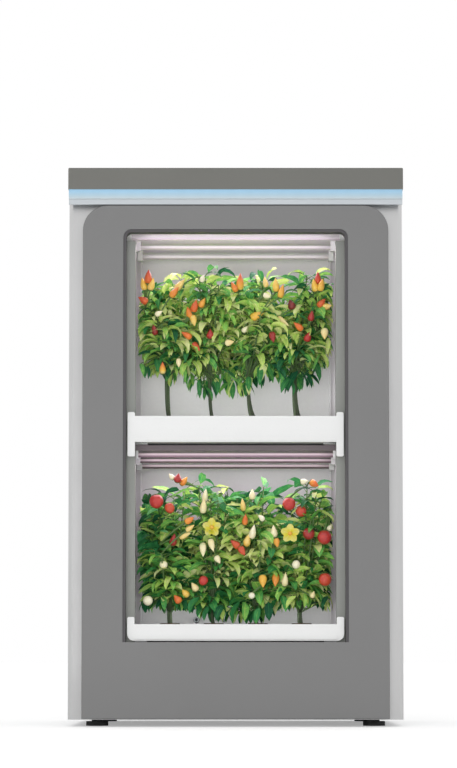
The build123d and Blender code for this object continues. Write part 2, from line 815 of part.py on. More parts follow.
# Door seal: ring on the back of the door liner, facing the frame
with BuildPart() as door_seal:
    with BuildSketch(front_plane(door_back + seal_gap - seal_clearance)) as seal_outline:
        with Locations((0, window_middle)):
            seal_width_in = 2 * (window_half + seal_offset)
            seal_height_in = window_height + 2 * seal_offset
            Rectangle(seal_width_in + 2 * seal_width, seal_height_in + 2 * seal_width)
            Rectangle(seal_width_in, seal_height_in, mode=Mode.SUBTRACT)
    extrude(amount=seal_gap - seal_clearance)
save(door_seal, "door_seal")

# Hinge blocks: solid cheeks in the door above and below each notch, bored for the pin
with BuildPart() as hinge_blocks:
    block_x = (-door_half + door_skin, notch_right)
    block_y = (door_front + door_skin, door_back - door_liner_thick)
    for level in hinge_levels:
        fill(block_x, block_y, (level + notch_half, level + notch_half + hinge_block_height))
        fill(block_x, block_y, (level - notch_half - hinge_block_height, level - notch_half))
        with Locations((pivot_x, pivot_y, level)):
            Cylinder(pin_radius + pin_clearance, 2 * (notch_half + hinge_block_height), mode=Mode.SUBTRACT)
save(hinge_blocks, "hinge_blocks")

# Hinge brackets: arms on the frame that reach into the notches of the door
with BuildPart() as hinge_brackets:
    for level in hinge_levels:
        with BuildSketch(Plane.XY.offset(level - bracket_height / 2)):
            with Locations((pivot_x, (pivot_y + frame_front) / 2)):
                Rectangle(arm_width, frame_front - pivot_y)
            with Locations((pivot_x, pivot_y)):
                Circle(eye_radius)
                Circle(pin_radius + pin_clearance, mode=Mode.SUBTRACT)
        extrude(amount=bracket_height)
save(hinge_brackets, "hinge_brackets")

with BuildPart() as hinge_pins:
    for level in hinge_levels:
        with Locations((pivot_x, pivot_y, level)):
            Cylinder(pin_radius, 2 * (notch_half + hinge_block_height))
save(hinge_pins, "hinge_pins")

# Water tank and its lid
with BuildPart() as water_tank:
    fill((tank_left, tank_right), (tank_front, tank_back), (pan_top, tank_top))
    fillet(water_tank.edges().filter_by(Axis.Z), tank_corner_radius)
    offset(amount=-tank_wall, openings=water_tank.faces().sort_by(Axis.Z)[-1])
save(water_tank, "water_tank")

with BuildPart() as tank_lid:
    fill((tank_left, tank_right), (tank_front, tank_back), (tank_top, tank_top + tank_wall))
    fillet(tank_lid.edges().filter_by(Axis.Z), tank_corner_radius)
    with Locations((riser_x, riser_y, tank_top)):
        Cylinder(riser_radius + riser_hole_clearance, 4 * tank_wall, mode=Mode.SUBTRACT)
    with Locations((riser_x, filler_y, tank_top)):
        Cylinder(filler_radius - tank_wall, 4 * tank_wall, mode=Mode.SUBTRACT)
save(tank_lid, "tank_lid")

with BuildPart(Plane((riser_x, filler_y, tank_top + tank_wall))) as filler_cap:
    Cylinder(filler_radius, filler_cap_height, align=(Align.CENTER, Align.CENTER, Align.MIN))
    with PolarLocations(filler_radius, 12):
        Cylinder(tank_wall / 2, 3 * filler_cap_height, mode=Mode.SUBTRACT)
save(filler_cap, "filler_cap")

# Pump in the tank: body with its chamber and nozzle, cover on legs, impeller on a shaft
with BuildPart(Plane((riser_x, riser_y, pump_base))) as pump_body:
    seat = (Align.CENTER, Align.CENTER, Align.MIN)
    Cylinder(pump_radius, pump_height, align=seat)
    with Locations((0, 0, pump_height)):
        Cylinder(nozzle_radius, nozzle_height, align=seat)
    Cylinder(chamber_radius, chamber_height, align=seat, mode=Mode.SUBTRACT)
    shaft_bore = pump_shaft_radius + shaft_clearance
    Cylinder(shaft_bore, impeller_gap + pump_shaft_length, align=seat, mode=Mode.SUBTRACT)
save(pump_body, "pump_body")

with BuildPart(Plane((riser_x, riser_y, tank_floor))) as pump_cover:
    with PolarLocations(pump_radius - 2 * pump_leg_radius, 4):
        Cylinder(pump_leg_radius, pump_leg_height, align=seat)
    with Locations((0, 0, pump_leg_height)):
        Cylinder(pump_radius, pump_cover_thick, align=seat)
        Cylinder(pump_intake_radius, 4 * pump_cover_thick, mode=Mode.SUBTRACT)
save(pump_cover, "pump_cover")

with BuildPart(Plane((riser_x, riser_y, pump_base + impeller_gap))) as pump_impeller:
    Cylinder(impeller_hub_radius, impeller_height, align=seat)
    with PolarLocations(impeller_radius / 2, vane_count):
        Box(impeller_radius, vane_thick, impeller_height, align=seat)
    Cylinder(pump_shaft_radius, pump_shaft_length, align=seat)
save(pump_impeller, "pump_impeller")

# Riser tube with a spout over the back of each tray
spout_end = tray_back - spout_overlap
with BuildPart(Plane((riser_x, riser_y, 0))) as riser_tube:
    riser_top = spout_levels[-1] + 2 * riser_radius
    with Locations((0, 0, pump_top)):
        Cylinder(riser_radius, riser_top - pump_top, align=seat)
    for level in spout_levels:
        with Locations(Location((0, 0, level), (90, 0, 0))):
            Cylinder(spout_radius, riser_y - spout_end, align=seat)
    with Locations((0, 0, pump_top)):
        Cylinder(riser_bore, riser_top - pump_top - riser_radius, align=seat, mode=Mode.SUBTRACT)
    for level in spout_levels:
        with Locations(Location((0, 0, level), (90, 0, 0))):
            Cylinder(spout_radius - pot_wall, riser_y - spout_end, align=seat, mode=Mode.SUBTRACT)
save(riser_tube, "riser_tube")

# Fan behind the back panel: frame with struts, rotor on a shaft, guard outside
fan_plane = Plane((0, panel_front, fan_level), x_dir=(1, 0, 0), z_dir=(0, -1, 0))
with BuildPart(fan_plane) as fan_frame:
    Box(fan_size, fan_size, fan_depth, align=seat)
    Cylinder(fan_duct_radius, fan_depth, align=seat, mode=Mode.SUBTRACT)
    Box(2 * fan_duct_radius, fan_strut_width, fan_strut_depth, align=seat)
    Box(fan_strut_width, 2 * fan_duct_radius, fan_strut_depth, align=seat)
    Cylinder(fan_hub_radius, fan_strut_depth, align=seat)
    Cylinder(fan_shaft_radius + shaft_clearance, fan_strut_depth, align=seat, mode=Mode.SUBTRACT)
save(fan_frame, "fan_frame")

with BuildPart(fan_plane) as fan_rotor:
    with Locations((0, 0, fan_strut_depth + fan_hub_gap)):
        Cylinder(fan_hub_radius, fan_hub_length, align=seat)
    blade_length = fan_blade_radius - fan_hub_radius + blade_thick
    with Locations((0, 0, fan_strut_depth + fan_hub_gap + fan_hub_length / 2)):
        with PolarLocations(fan_blade_radius - blade_length / 2, blade_count):
            Box(blade_length, blade_width, blade_thick, rotation=(blade_pitch, 0, 0))
    Cylinder(fan_shaft_radius, fan_strut_depth + fan_hub_gap, align=seat)
save(fan_rotor, "fan_rotor")

with BuildPart() as fan_guard:
    with BuildSketch(Plane((0, case_back, fan_level), x_dir=(-1, 0, 0), z_dir=(0, 1, 0))):
        for i in range(guard_rings):
            ring_radius = fan_duct_radius + guard_wire - i * guard_ring_pitch
            Circle(ring_radius)
            Circle(ring_radius - guard_wire, mode=Mode.SUBTRACT)
            if i < guard_rings - 1:
                Circle(ring_radius - guard_ring_pitch, mode=Mode.ADD)
        Rectangle(2 * fan_duct_radius, guard_wire)
        Rectangle(guard_wire, 2 * fan_duct_radius)
    extrude(amount=guard_thick)
save(fan_guard, "fan_guard")

# Power supply on the base pan
with BuildPart() as power_supply:
    supply_left = tank_right + supply_gap
    supply_back = panel_front - supply_back_gap
    supply_x = (supply_left, supply_left + supply_width)
    supply_y = (supply_back - supply_depth, supply_back)
    fill(supply_x, supply_y, (pan_top, pan_top + supply_height))
    fillet(power_supply.edges().filter_by(Axis.Z), supply_edge_radius)
save(power_supply, "power_supply")

# Power inlet: flange outside the back panel, socket with three blades
inlet_plane = Plane((inlet_x, case_back, power_level), x_dir=(-1, 0, 0), z_dir=(0, 1, 0))
with BuildPart(inlet_plane) as power_inlet:
    Box(inlet_width + 2 * inlet_flange, inlet_height + 2 * inlet_flange, plate_lip, align=seat)
    shell_seat = (Align.CENTER, Align.CENTER, Align.MAX)
    Box(inlet_width, inlet_height, inlet_depth, align=shell_seat)
    socket_size = (inlet_width - 2 * inlet_wall, inlet_height - 2 * inlet_wall)
    with Locations((0, 0, plate_lip)):
        Box(*socket_size, inlet_depth, align=shell_seat, mode=Mode.SUBTRACT)
    with Locations((0, 0, plate_lip - inlet_depth)):
        with GridLocations(inlet_pin_pitch, 0, 3, 1):
            Box(inlet_pin_width, inlet_pin_height, inlet_depth - 2 * inlet_wall, align=seat)
save(power_inlet, "power_inlet")

# Rocker switch in its bezel
switch_plane = Plane((switch_x, case_back, power_level), x_dir=(-1, 0, 0), z_dir=(0, 1, 0))
with BuildPart(switch_plane) as switch_bezel:
    opening_x = switch_width + 2 * switch_gap
    opening_z = 2 * (switch_radius + switch_gap)
    Box(opening_x + 4 * bezel_wall, opening_z + 4 * bezel_wall, plate_lip, align=seat)
    Box(opening_x + 2 * bezel_wall, opening_z + 2 * bezel_wall, bezel_depth, align=shell_seat)
    with Locations((0, 0, plate_lip)):
        Box(opening_x, opening_z, bezel_depth - bezel_wall + plate_lip, align=shell_seat, mode=Mode.SUBTRACT)
    with Locations(Location((0, 0, -switch_pivot_depth), (0, 90, 0))):
        axle_length = opening_x + 2 * switch_axle_reach
        Cylinder(switch_axle_radius + shaft_clearance, axle_length, mode=Mode.SUBTRACT)
save(switch_bezel, "switch_bezel")

rocker_pivot = (switch_x, case_back - switch_pivot_depth, power_level)
rocker_plane = Plane(rocker_pivot, x_dir=(0, 0, 1), z_dir=(-1, 0, 0)).rotated((-switch_tilt, 0, 0))
with BuildPart() as rocker_switch:
    with BuildSketch(rocker_plane) as rocker_outline:
        with BuildLine():
            Polyline(
                (-switch_half, -switch_back),
                (-switch_half, switch_proud),
                (0, switch_dip),
                (switch_half, switch_proud),
                (switch_half, -switch_back),
                close=True,
            )
        make_face()
    extrude(amount=switch_width / 2, both=True)
    with BuildSketch(rocker_plane):
        Circle(switch_axle_radius)
    extrude(amount=switch_width / 2 + switch_gap + switch_axle_reach - shaft_clearance, both=True)
save(rocker_switch, "rocker_switch")
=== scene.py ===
import json
import math

import bpy
import numpy as np
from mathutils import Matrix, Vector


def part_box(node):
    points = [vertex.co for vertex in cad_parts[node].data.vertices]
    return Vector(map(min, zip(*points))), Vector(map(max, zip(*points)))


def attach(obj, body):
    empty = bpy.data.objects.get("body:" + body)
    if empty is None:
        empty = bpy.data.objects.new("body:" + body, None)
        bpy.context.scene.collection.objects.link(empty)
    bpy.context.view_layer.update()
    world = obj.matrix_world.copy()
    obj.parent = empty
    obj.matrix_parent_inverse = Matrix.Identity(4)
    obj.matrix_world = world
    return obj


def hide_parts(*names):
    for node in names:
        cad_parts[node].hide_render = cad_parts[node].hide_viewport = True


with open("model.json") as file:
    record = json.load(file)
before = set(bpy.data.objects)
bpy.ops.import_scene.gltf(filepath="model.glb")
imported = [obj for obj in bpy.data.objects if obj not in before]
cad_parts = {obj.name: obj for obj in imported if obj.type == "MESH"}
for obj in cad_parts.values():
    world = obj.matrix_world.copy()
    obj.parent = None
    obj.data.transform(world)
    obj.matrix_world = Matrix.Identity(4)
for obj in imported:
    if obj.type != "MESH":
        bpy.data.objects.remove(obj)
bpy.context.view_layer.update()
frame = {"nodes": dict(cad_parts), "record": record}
nodes = frame["nodes"]
scene = bpy.context.scene

# Node helpers


def start_material(name):
    """A new node material with its principled shader and an object-space coordinate."""
    material = bpy.data.materials.new(name)
    material.use_nodes = True
    tree = material.node_tree
    shader = tree.nodes["Principled BSDF"]
    place = tree.nodes.new("ShaderNodeTexCoord").outputs["Object"]
    return material, tree, shader, place


def link(tree, source, target):
    tree.links.new(source, target)


def math_node(tree, operation, first, second=None):
    """One math node; plain numbers and sockets are both taken."""
    node = tree.nodes.new("ShaderNodeMath")
    node.operation = operation
    for socket, value in zip(node.inputs, (first, second)):
        if value is None:
            continue
        if isinstance(value, (int, float)):
            socket.default_value = value
        else:
            link(tree, value, socket)
    return node.outputs[0]


def noise(tree, place, scale, stretch=(1, 1, 1), detail=4.0):
    """Noise over object space, stretched by a scale on each axis."""
    mapping = tree.nodes.new("ShaderNodeMapping")
    mapping.inputs["Scale"].default_value = stretch
    link(tree, place, mapping.inputs["Vector"])
    node = tree.nodes.new("ShaderNodeTexNoise")
    node.inputs["Scale"].default_value = scale
    node.inputs["Detail"].default_value = detail
    node.inputs["Roughness"].default_value = 0.55
    link(tree, mapping.outputs[0], node.inputs["Vector"])
    return node.outputs["Fac"]


def ramp(tree, factor, stops):
    """A colour ramp with stops of (place, colour)."""
    node = tree.nodes.new("ShaderNodeValToRGB")
    link(tree, factor, node.inputs["Fac"])
    points = node.color_ramp.elements
    while len(points) < len(stops):
        points.new(0.5)
    for point, (at, colour) in zip(points, stops):
        point.position = at
        point.color = (*colour, 1.0)
    return node.outputs["Color"]


def map_range(tree, value, source, target):
    """The range source, a pair, mapped to the range target, and held at its ends."""
    node = tree.nodes.new("ShaderNodeMapRange")
    for socket, limit in zip(("From Min", "From Max", "To Min", "To Max"), (*source, *target)):
        node.inputs[socket].default_value = limit
    link(tree, value, node.inputs["Value"])
    return node.outputs["Result"]


def spread(tree, value, low, high):
    """The 0.3 to 0.7 middle of a noise mapped to low..high."""
    return map_range(tree, value, (0.3, 0.7), (low, high))


def bump(tree, shader, height, distance):
    node = tree.nodes.new("ShaderNodeBump")
    node.inputs["Distance"].default_value = distance
    node.inputs["Strength"].default_value = 1.0
    link(tree, height, node.inputs["Height"])
    link(tree, node.outputs["Normal"], shader.inputs["Normal"])


def split_axes(tree, place):
    """The X, Y and Z outputs of a coordinate."""
    axes = tree.nodes.new("ShaderNodeSeparateXYZ")
    link(tree, place, axes.inputs[0])
    return axes.outputs


def tint(colour, factor):
    return tuple(min(1.0, c * factor) for c in colour)


# Finishes of the cabinet

UPRIGHT_BRUSHING = (4, 4, 0.04)
LEVEL_BRUSHING = (0.04, 4, 4)
ROLLED = (0.3, 1, 1)


def coated(name, colour, rough, grain, depth, tone, metal=0.0, stretch=(1, 1, 1), coat=0.0):
    """A finish of one colour: broad soft tone changes, a fine grain in the bump and an uneven sheen."""
    material, tree, shader, place = start_material(name)
    broad = noise(tree, place, 5.0, detail=2.0)
    fine = noise(tree, place, grain, stretch)
    broad_part = math_node(tree, "MULTIPLY", broad, 0.6)
    fine_part = math_node(tree, "MULTIPLY", fine, 0.4)
    mixed = math_node(tree, "ADD", broad_part, fine_part)
    stops = [(0.3, tint(colour, 1 - tone)), (0.7, tint(colour, 1 + tone))]
    link(tree, ramp(tree, mixed, stops), shader.inputs["Base Color"])
    link(tree, spread(tree, fine, rough * 0.85, rough * 1.15), shader.inputs["Roughness"])
    shader.inputs["Metallic"].default_value = metal
    shader.inputs["Coat Weight"].default_value = coat
    bump(tree, shader, fine, depth)
    return material


def strip_material():
    """Frosted pale blue light strip: brighter spots over its lamps and a fade towards its lower edge."""
    lamp_pitch = 0.03
    strip_low, strip_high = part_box("light_strip")
    material, tree, shader, place = start_material("light_strip")
    axes = split_axes(tree, place)
    wave = math_node(tree, "SINE", math_node(tree, "MULTIPLY", axes["X"], 2 * math.pi / lamp_pitch))
    glow = math_node(tree, "ADD", math_node(tree, "MULTIPLY", wave, 0.01), 0.10)
    height = map_range(tree, axes["Z"], (strip_low.z, strip_high.z), (0.0, 1.0))
    colour = ramp(tree, height, [
        (0.0, (0.46, 0.525, 0.555)), (0.4, (0.36, 0.50, 0.59)),
        (0.75, (0.30, 0.49, 0.65)), (1.0, (0.28, 0.47, 0.63))])
    link(tree, colour, shader.inputs["Base Color"])
    link(tree, colour, shader.inputs["Emission Color"])
    link(tree, glow, shader.inputs["Emission Strength"])
    fine = noise(tree, place, 800)
    link(tree, spread(tree, fine, 0.25, 0.4), shader.inputs["Roughness"])
    bump(tree, shader, fine, 0.00004)
    return material


def tube_material(name, node, colour, strength, body, window):
    """Lit tubes: a glowing window along each front in a plain body, dimmer at the ends, with an uneven coat.

    The middles of the node's tubes lie on a plane that falls evenly to the back. The window is a range of the
    height over that plane in tube radii, with soft edges.
    """
    dim_from, dim_to = 0.150, 0.176
    radius = 0.004
    edge = 0.15
    low, high = window
    box_low, box_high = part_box(node)
    fall = (box_high.z - box_low.z - 2 * radius) / (box_high.y - box_low.y - 2 * radius)
    level = box_low.z + radius + fall * (box_high.y - radius)
    material, tree, shader, place = start_material(name)
    axes = split_axes(tree, place)
    from_middle = math_node(tree, "ABSOLUTE", axes["X"])
    along = map_range(tree, from_middle, (dim_from, dim_to), (1.0, 0.35))
    rise = math_node(tree, "ADD", axes["Z"], math_node(tree, "MULTIPLY", axes["Y"], fall))
    height = map_range(tree, rise, (level - radius, level + radius), (-1.0, 1.0))
    over = map_range(tree, height, (low - edge, low + edge), (0.0, 1.0))
    under = map_range(tree, height, (high - edge, high + edge), (1.0, 0.0))
    opened = math_node(tree, "MULTIPLY", over, under)
    coat = spread(tree, noise(tree, place, 60), 0.94, 1.06)
    light = math_node(tree, "MULTIPLY", math_node(tree, "MULTIPLY", along, opened), coat)
    link(tree, math_node(tree, "MULTIPLY", light, strength), shader.inputs["Emission Strength"])
    shader.inputs["Emission Color"].default_value = (*colour, 1.0)
    stops = [(0.0, body), (1.0, tint(colour, 0.4))]
    link(tree, ramp(tree, math_node(tree, "MULTIPLY", opened, coat), stops), shader.inputs["Base Color"])
    shader.inputs["Roughness"].default_value = 0.2
    return material


def plug_material():
    """Coarse brown fibre: crossed stretched noises for the strands, painted shade in the gaps between them
    and a deep bump.
    """
    material, tree, shader, place = start_material("plug_fibre")
    deep_strands = noise(tree, place, 500, (1, 0.2, 1))
    wide_strands = noise(tree, place, 500, (0.2, 1, 1))
    strands = math_node(tree, "MAXIMUM", deep_strands, wide_strands)
    # The near-black first stop is painted shade in the gaps between the strands.
    stops = [(0.4, (0.03, 0.018, 0.01)), (0.58, (0.12, 0.075, 0.045)), (0.75, (0.24, 0.16, 0.10))]
    link(tree, ramp(tree, strands, stops), shader.inputs["Base Color"])
    shader.inputs["Roughness"].default_value = 0.9
    bump(tree, shader, strands, 0.0012)
    return material


def tank_material():
    """Translucent pale plastic with soft cloudiness."""
    material, tree, shader, place = start_material("tank_plastic")
    cloud = noise(tree, place, 30)
    stops = [(0.3, (0.52, 0.60, 0.64)), (0.7, (0.66, 0.72, 0.75))]
    link(tree, ramp(tree, cloud, stops), shader.inputs["Base Color"])
    link(tree, spread(tree, cloud, 0.25, 0.4), shader.inputs["Roughness"])
    shader.inputs["Transmission Weight"].default_value = 0.45
    bump(tree, shader, noise(tree, place, 300), 0.00005)
    return material


def board_material():
    """Green circuit board with a fine grid of lighter tracks."""
    material, tree, shader, place = start_material("circuit_board")
    brick = tree.nodes.new("ShaderNodeTexBrick")
    brick.inputs["Scale"].default_value = 160
    brick.inputs["Mortar Size"].default_value = 0.03
    brick.inputs["Color1"].default_value = (0.015, 0.10, 0.045, 1)
    brick.inputs["Color2"].default_value = (0.02, 0.12, 0.055, 1)
    brick.inputs["Mortar"].default_value = (0.06, 0.26, 0.13, 1)
    link(tree, place, brick.inputs["Vector"])
    link(tree, brick.outputs["Color"], shader.inputs["Base Color"])
    shader.inputs["Roughness"].default_value = 0.35
    bump(tree, shader, noise(tree, place, 400), 0.00003)
    return material


# A coated finish has its colour, roughness, scale and depth of the grain, change of tone, metal and brushing.
slot_finishes = {
    "grey_enamel": coated("door_enamel", (0.182, 0.182, 0.182), 0.5, 700, 0.00006, 0.03),
    "cap_grey": coated("cap_plastic", (0.150, 0.150, 0.137), 0.55, 900, 0.00008, 0.04),
    "silver_metal": coated(
        "brushed_aluminium", (0.62, 0.62, 0.62), 0.38, 260, 0.00003, 0.05, 1.0, UPRIGHT_BRUSHING),
    "case_metal": coated("case_paint", (0.50, 0.51, 0.52), 0.45, 320, 0.00006, 0.03),
    # The window trim's near black is partly its rubber and partly painted shade of the window opening's
    # reveal.
    "trim_black": coated("trim_rubber", (0.078, 0.074, 0.078), 0.6, 600, 0.00008, 0.12),
    # The liner's faint pink is painted light: a counter to the green light that the leaves throw onto the
    # walls.
    "liner_white": coated("liner_plastic", (0.84, 0.825, 0.84), 0.5, 240, 0.00004, 0.04),
    "tray_white": coated("tray_plastic", (0.74, 0.745, 0.74), 0.32, 500, 0.00003, 0.02, coat=0.15),
    "pot_black": coated("pot_plastic", (0.03, 0.03, 0.032), 0.55, 500, 0.00006, 0.15),
    "part_black": coated("black_plastic", (0.028, 0.028, 0.03), 0.5, 700, 0.00006, 0.15),
    "steel_bright": coated("zinc_steel", (0.52, 0.525, 0.53), 0.34, 150, 0.00003, 0.08, 1.0, ROLLED),
    "foot_rubber": coated("foot_rubber", (0.025, 0.025, 0.025), 0.7, 500, 0.0001, 0.2),
    "housing_dark": coated("housing_paint", (0.15, 0.125, 0.135), 0.45, 400, 0.00004, 0.08),
    "strip_blue": strip_material(),
    "plug_brown": plug_material(),
    "tank_clear": tank_material(),
    "board_green": board_material(),
    "lamp_white": tube_material(
        "upper_tubes", "upper_light_tubes", (1.0, 0.94, 0.97), 0.43, (0.56, 0.50, 0.54), (-0.25, 1.2)),
}
own_finishes = {
    # The lower tubes' dark body is partly a dark tube back and partly painted shade of the gaps between the
    # tubes.
    "lower_light_tubes": tube_material(
        "lower_tubes_gap_shade", "lower_light_tubes", (0.95, 0.77, 0.83), 0.40, (0.17, 0.12, 0.14), (-0.15, 0.95)),
    "upper_light_housing": coated("reflector_paint", (0.72, 0.64, 0.74), 0.4, 400, 0.00004, 0.06),
    "front_uprights": coated(
        "post_metal", (0.30, 0.31, 0.29), 0.45, 260, 0.00003, 0.06, 0.4, UPRIGHT_BRUSHING),
    "rear_uprights": slot_finishes["liner_white"],
    # The top plate's faint blue is painted light: the glow of the light strip on the plate.
    "top_plate": coated("plate_painted_strip_glow", (0.62, 0.66, 0.69), 0.38, 260, 0.00003, 0.05, 1.0, LEVEL_BRUSHING),
    "rocker_switch": coated("rocker_plastic", (0.075, 0.075, 0.08), 0.25, 700, 0.00004, 0.1, coat=0.3),
}
slots = {part["node"]: part["material_slot"] for part in frame["record"]["subparts"]}
for name, node in nodes.items():
    finish = own_finishes.get(name) or slot_finishes.get(slots[name])
    if finish is None:
        continue
    node.data.materials.clear()
    node.data.materials.append(finish)

# Finishes of the plants


def field(tree, name):
    """A point attribute of the piece."""
    node = tree.nodes.new("ShaderNodeAttribute")
    node.attribute_name = name
    return node.outputs["Fac"]


def leaf_material(name, stops):
    """Leaf: a tone for each leaf, a pale midrib, slanting side veins, blotches and light through it."""
    vein_turns, vein_slant = 50.0, 9.0
    vein_sharpness, vein_share = 12.0, 0.45
    rib_half = 0.09
    line_tone = 0.16
    see_through = 0.25
    material, tree, shader, place = start_material(name)
    blotch = spread(tree, noise(tree, place, 130), -0.09, 0.09)
    across = math_node(tree, "ABSOLUTE", field(tree, "across"))
    turn_along = math_node(tree, "MULTIPLY", field(tree, "along"), vein_turns)
    turn_across = math_node(tree, "MULTIPLY", across, vein_slant)
    wave = math_node(tree, "SINE", math_node(tree, "SUBTRACT", turn_along, turn_across))
    vein = math_node(tree, "POWER", math_node(tree, "ABSOLUTE", wave), vein_sharpness)
    rib = math_node(tree, "LESS_THAN", across, rib_half)
    lines = math_node(tree, "MAXIMUM", rib, math_node(tree, "MULTIPLY", vein, vein_share))
    plain_tone = math_node(tree, "ADD", field(tree, "shade"), blotch)
    tone = math_node(tree, "ADD", plain_tone, math_node(tree, "MULTIPLY", lines, line_tone))
    colour = ramp(tree, tone, stops)
    link(tree, colour, shader.inputs["Base Color"])
    shader.inputs["Roughness"].default_value = 0.42
    shader.inputs["Specular IOR Level"].default_value = 0.28
    bump(tree, shader, lines, -0.0004)
    glow = tree.nodes.new("ShaderNodeBsdfTranslucent")
    link(tree, colour, glow.inputs["Color"])
    blend = tree.nodes.new("ShaderNodeMixShader")
    blend.inputs["Fac"].default_value = see_through
    link(tree, shader.outputs[0], blend.inputs[1])
    link(tree, glow.outputs[0], blend.inputs[2])
    link(tree, blend.outputs[0], tree.nodes["Material Output"].inputs["Surface"])
    return material


def fruit_material():
    """Fruit: waxy skin from dark red by way of orange and yellow to cream, with faint streaks."""
    material, tree, shader, place = start_material("pepper_skin")
    streak = spread(tree, noise(tree, place, 220), -0.04, 0.04)
    tone = math_node(tree, "ADD", field(tree, "tone"), streak)
    stops = [(0.0, (0.07, 0.012, 0.012)), (0.2, (0.48, 0.035, 0.03)), (0.4, (0.72, 0.17, 0.03)),
             (0.6, (0.80, 0.50, 0.07)), (0.8, (0.84, 0.74, 0.42)), (0.95, (0.86, 0.85, 0.72))]
    link(tree, ramp(tree, tone, stops), shader.inputs["Base Color"])
    shader.inputs["Roughness"].default_value = 0.28
    shader.inputs["Coat Weight"].default_value = 0.3
    bump(tree, shader, noise(tree, place, 300), 0.0001)
    return material


def stalk_material():
    """Green stalk that turns brown and ridged towards the root."""
    material, tree, shader, place = start_material("stalk")
    ridge = noise(tree, place, 400, (1, 1, 0.12))
    tone = math_node(tree, "ADD", field(tree, "age"), spread(tree, ridge, -0.15, 0.15))
    stops = [(0.0, (0.10, 0.20, 0.045)), (0.5, (0.080, 0.118, 0.060)), (1.0, (0.060, 0.066, 0.046))]
    link(tree, ramp(tree, tone, stops), shader.inputs["Base Color"])
    shader.inputs["Roughness"].default_value = 0.6
    bump(tree, shader, ridge, 0.0006)
    return material


pepper_skin = fruit_material()
stalk_skin = stalk_material()
petal_skin = leaf_material("petal", [
    (0.2, (0.62, 0.48, 0.03)), (0.5, (0.84, 0.74, 0.06)), (0.9, (0.88, 0.86, 0.45))])
# The leaf colours are lighter than real leaves: painted light that makes up for the shade inside the dense
# foliage.
upper_leaf = leaf_material("upper_leaf", [
    (0.08, (0.012, 0.095, 0.045)), (0.40, (0.072, 0.33, 0.095)), (0.60, (0.27, 0.63, 0.13)),
    (0.80, (0.66, 0.84, 0.20)), (1.0, (0.86, 0.88, 0.46))])
lower_leaf = leaf_material("lower_leaf", [
    (0.08, (0.010, 0.090, 0.042)), (0.42, (0.056, 0.31, 0.088)), (0.64, (0.25, 0.61, 0.12)),
    (0.83, (0.66, 0.84, 0.20)), (1.0, (0.86, 0.88, 0.46))])

# Shapes of the plants

UP = np.array([0.0, 0.0, 1.0])
FORWARD = np.array([0.0, -1.0, 0.0])
GOLDEN_ANGLE = 2.39996
GOLDEN_SHARE = 0.618


def unit(vectors):
    return vectors / np.linalg.norm(vectors, axis=-1, keepdims=True)


def grid_faces(count, rows, columns, closed):
    """Faces of count equal grids of rows by columns points.

    A closed grid is a tube: its last column joins its first, and a face closes it at each end.
    """
    i = np.arange(rows - 1)[:, None]
    j = np.arange(columns if closed else columns - 1)[None, :]
    k = (j + 1) % columns
    corners = (i * columns + j, i * columns + k, (i + 1) * columns + k, (i + 1) * columns + j)
    quads = np.stack(corners, -1).reshape(-1, 4)
    shift = (np.arange(count) * rows * columns)[:, None, None]
    faces = (quads[None] + shift).reshape(-1, 4).tolist()
    if closed:
        around = np.arange(columns)
        ends = np.stack([around[::-1], around + (rows - 1) * columns])
        faces += (ends[None] + shift).reshape(-1, columns).tolist()
    return faces


def add_piece(name, points, closed, material, body, **fields):
    """One object from equal grids of points, with a point attribute for each field, riding on a CAD body."""
    count, rows, columns = points.shape[:3]
    mesh = bpy.data.meshes.new(name)
    mesh.from_pydata(points.reshape(-1, 3).tolist(), [], grid_faces(count, rows, columns, closed))
    for key, values in fields.items():
        full = np.broadcast_to(values, points.shape[:3]).astype(np.float32).ravel()
        mesh.attributes.new(key, "FLOAT", "POINT").data.foreach_set("value", full)
    mesh.polygons.foreach_set("use_smooth", np.ones(len(mesh.polygons), dtype=bool))
    mesh.materials.append(material)
    piece = bpy.data.objects.new(name, mesh)
    scene.collection.objects.link(piece)
    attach(piece, body)
    return piece


def lengthwise(points):
    """0 to 1 along the rows of each grid."""
    return np.linspace(0, 1, points.shape[1])[None, :, None]


def crosswise(points):
    """-1 to 1 along the columns of each grid."""
    return np.linspace(-1, 1, points.shape[2])[None, None, :]


def blades(base, heading, lift, droop, length, width, fold, roll, rows=6, columns=5):
    """Leaf blades as grids over u, from stalk to tip, and v, from edge to edge.

    The midrib leaves base along its heading, lifted over the horizon, and turns down by droop in proportion
    to u. The half width is width times 0.04 + 0.96 u^0.6 (1 - u)^0.8, with that product scaled to a peak of
    one. Off the midrib the blade rises by fold times its distance, waves along its edges by 0.16 of the half
    width and is rolled about the midrib by roll.
    """
    u = np.linspace(0, 1, rows)
    v = np.linspace(-1, 1, columns)
    slope = lift[:, None] - droop[:, None] * u
    level = np.zeros_like(heading)
    out = np.stack([np.cos(heading), np.sin(heading), level], -1)[:, None]
    left = np.stack([-np.sin(heading), np.cos(heading), level], -1)[:, None]
    ahead = np.cos(slope)[..., None] * out + np.sin(slope)[..., None] * UP
    face = np.cross(ahead, left)
    turn = roll[:, None, None]
    side = np.cos(turn) * left + np.sin(turn) * face
    normal = np.cos(turn) * face - np.sin(turn) * left
    steps = (ahead[:, 1:] + ahead[:, :-1]) / 2 * (length / (rows - 1))[:, None, None]
    rib = base[:, None] + np.concatenate([0 * steps[:, :1], np.cumsum(steps, 1)], 1)
    shape = u**0.6 * (1 - u) ** 0.8
    half = width[:, None, None] * (0.04 + 0.96 * shape / shape.max())[None, :, None]
    wave = 0.16 * np.sin(8 * u[None, :, None] + 40 * heading[:, None, None]) * v**2
    rise = half * (fold[:, None, None] * np.abs(v) + wave)
    return rib[:, :, None] + side[:, :, None] * (half * v)[..., None] + normal[:, :, None] * rise[..., None]


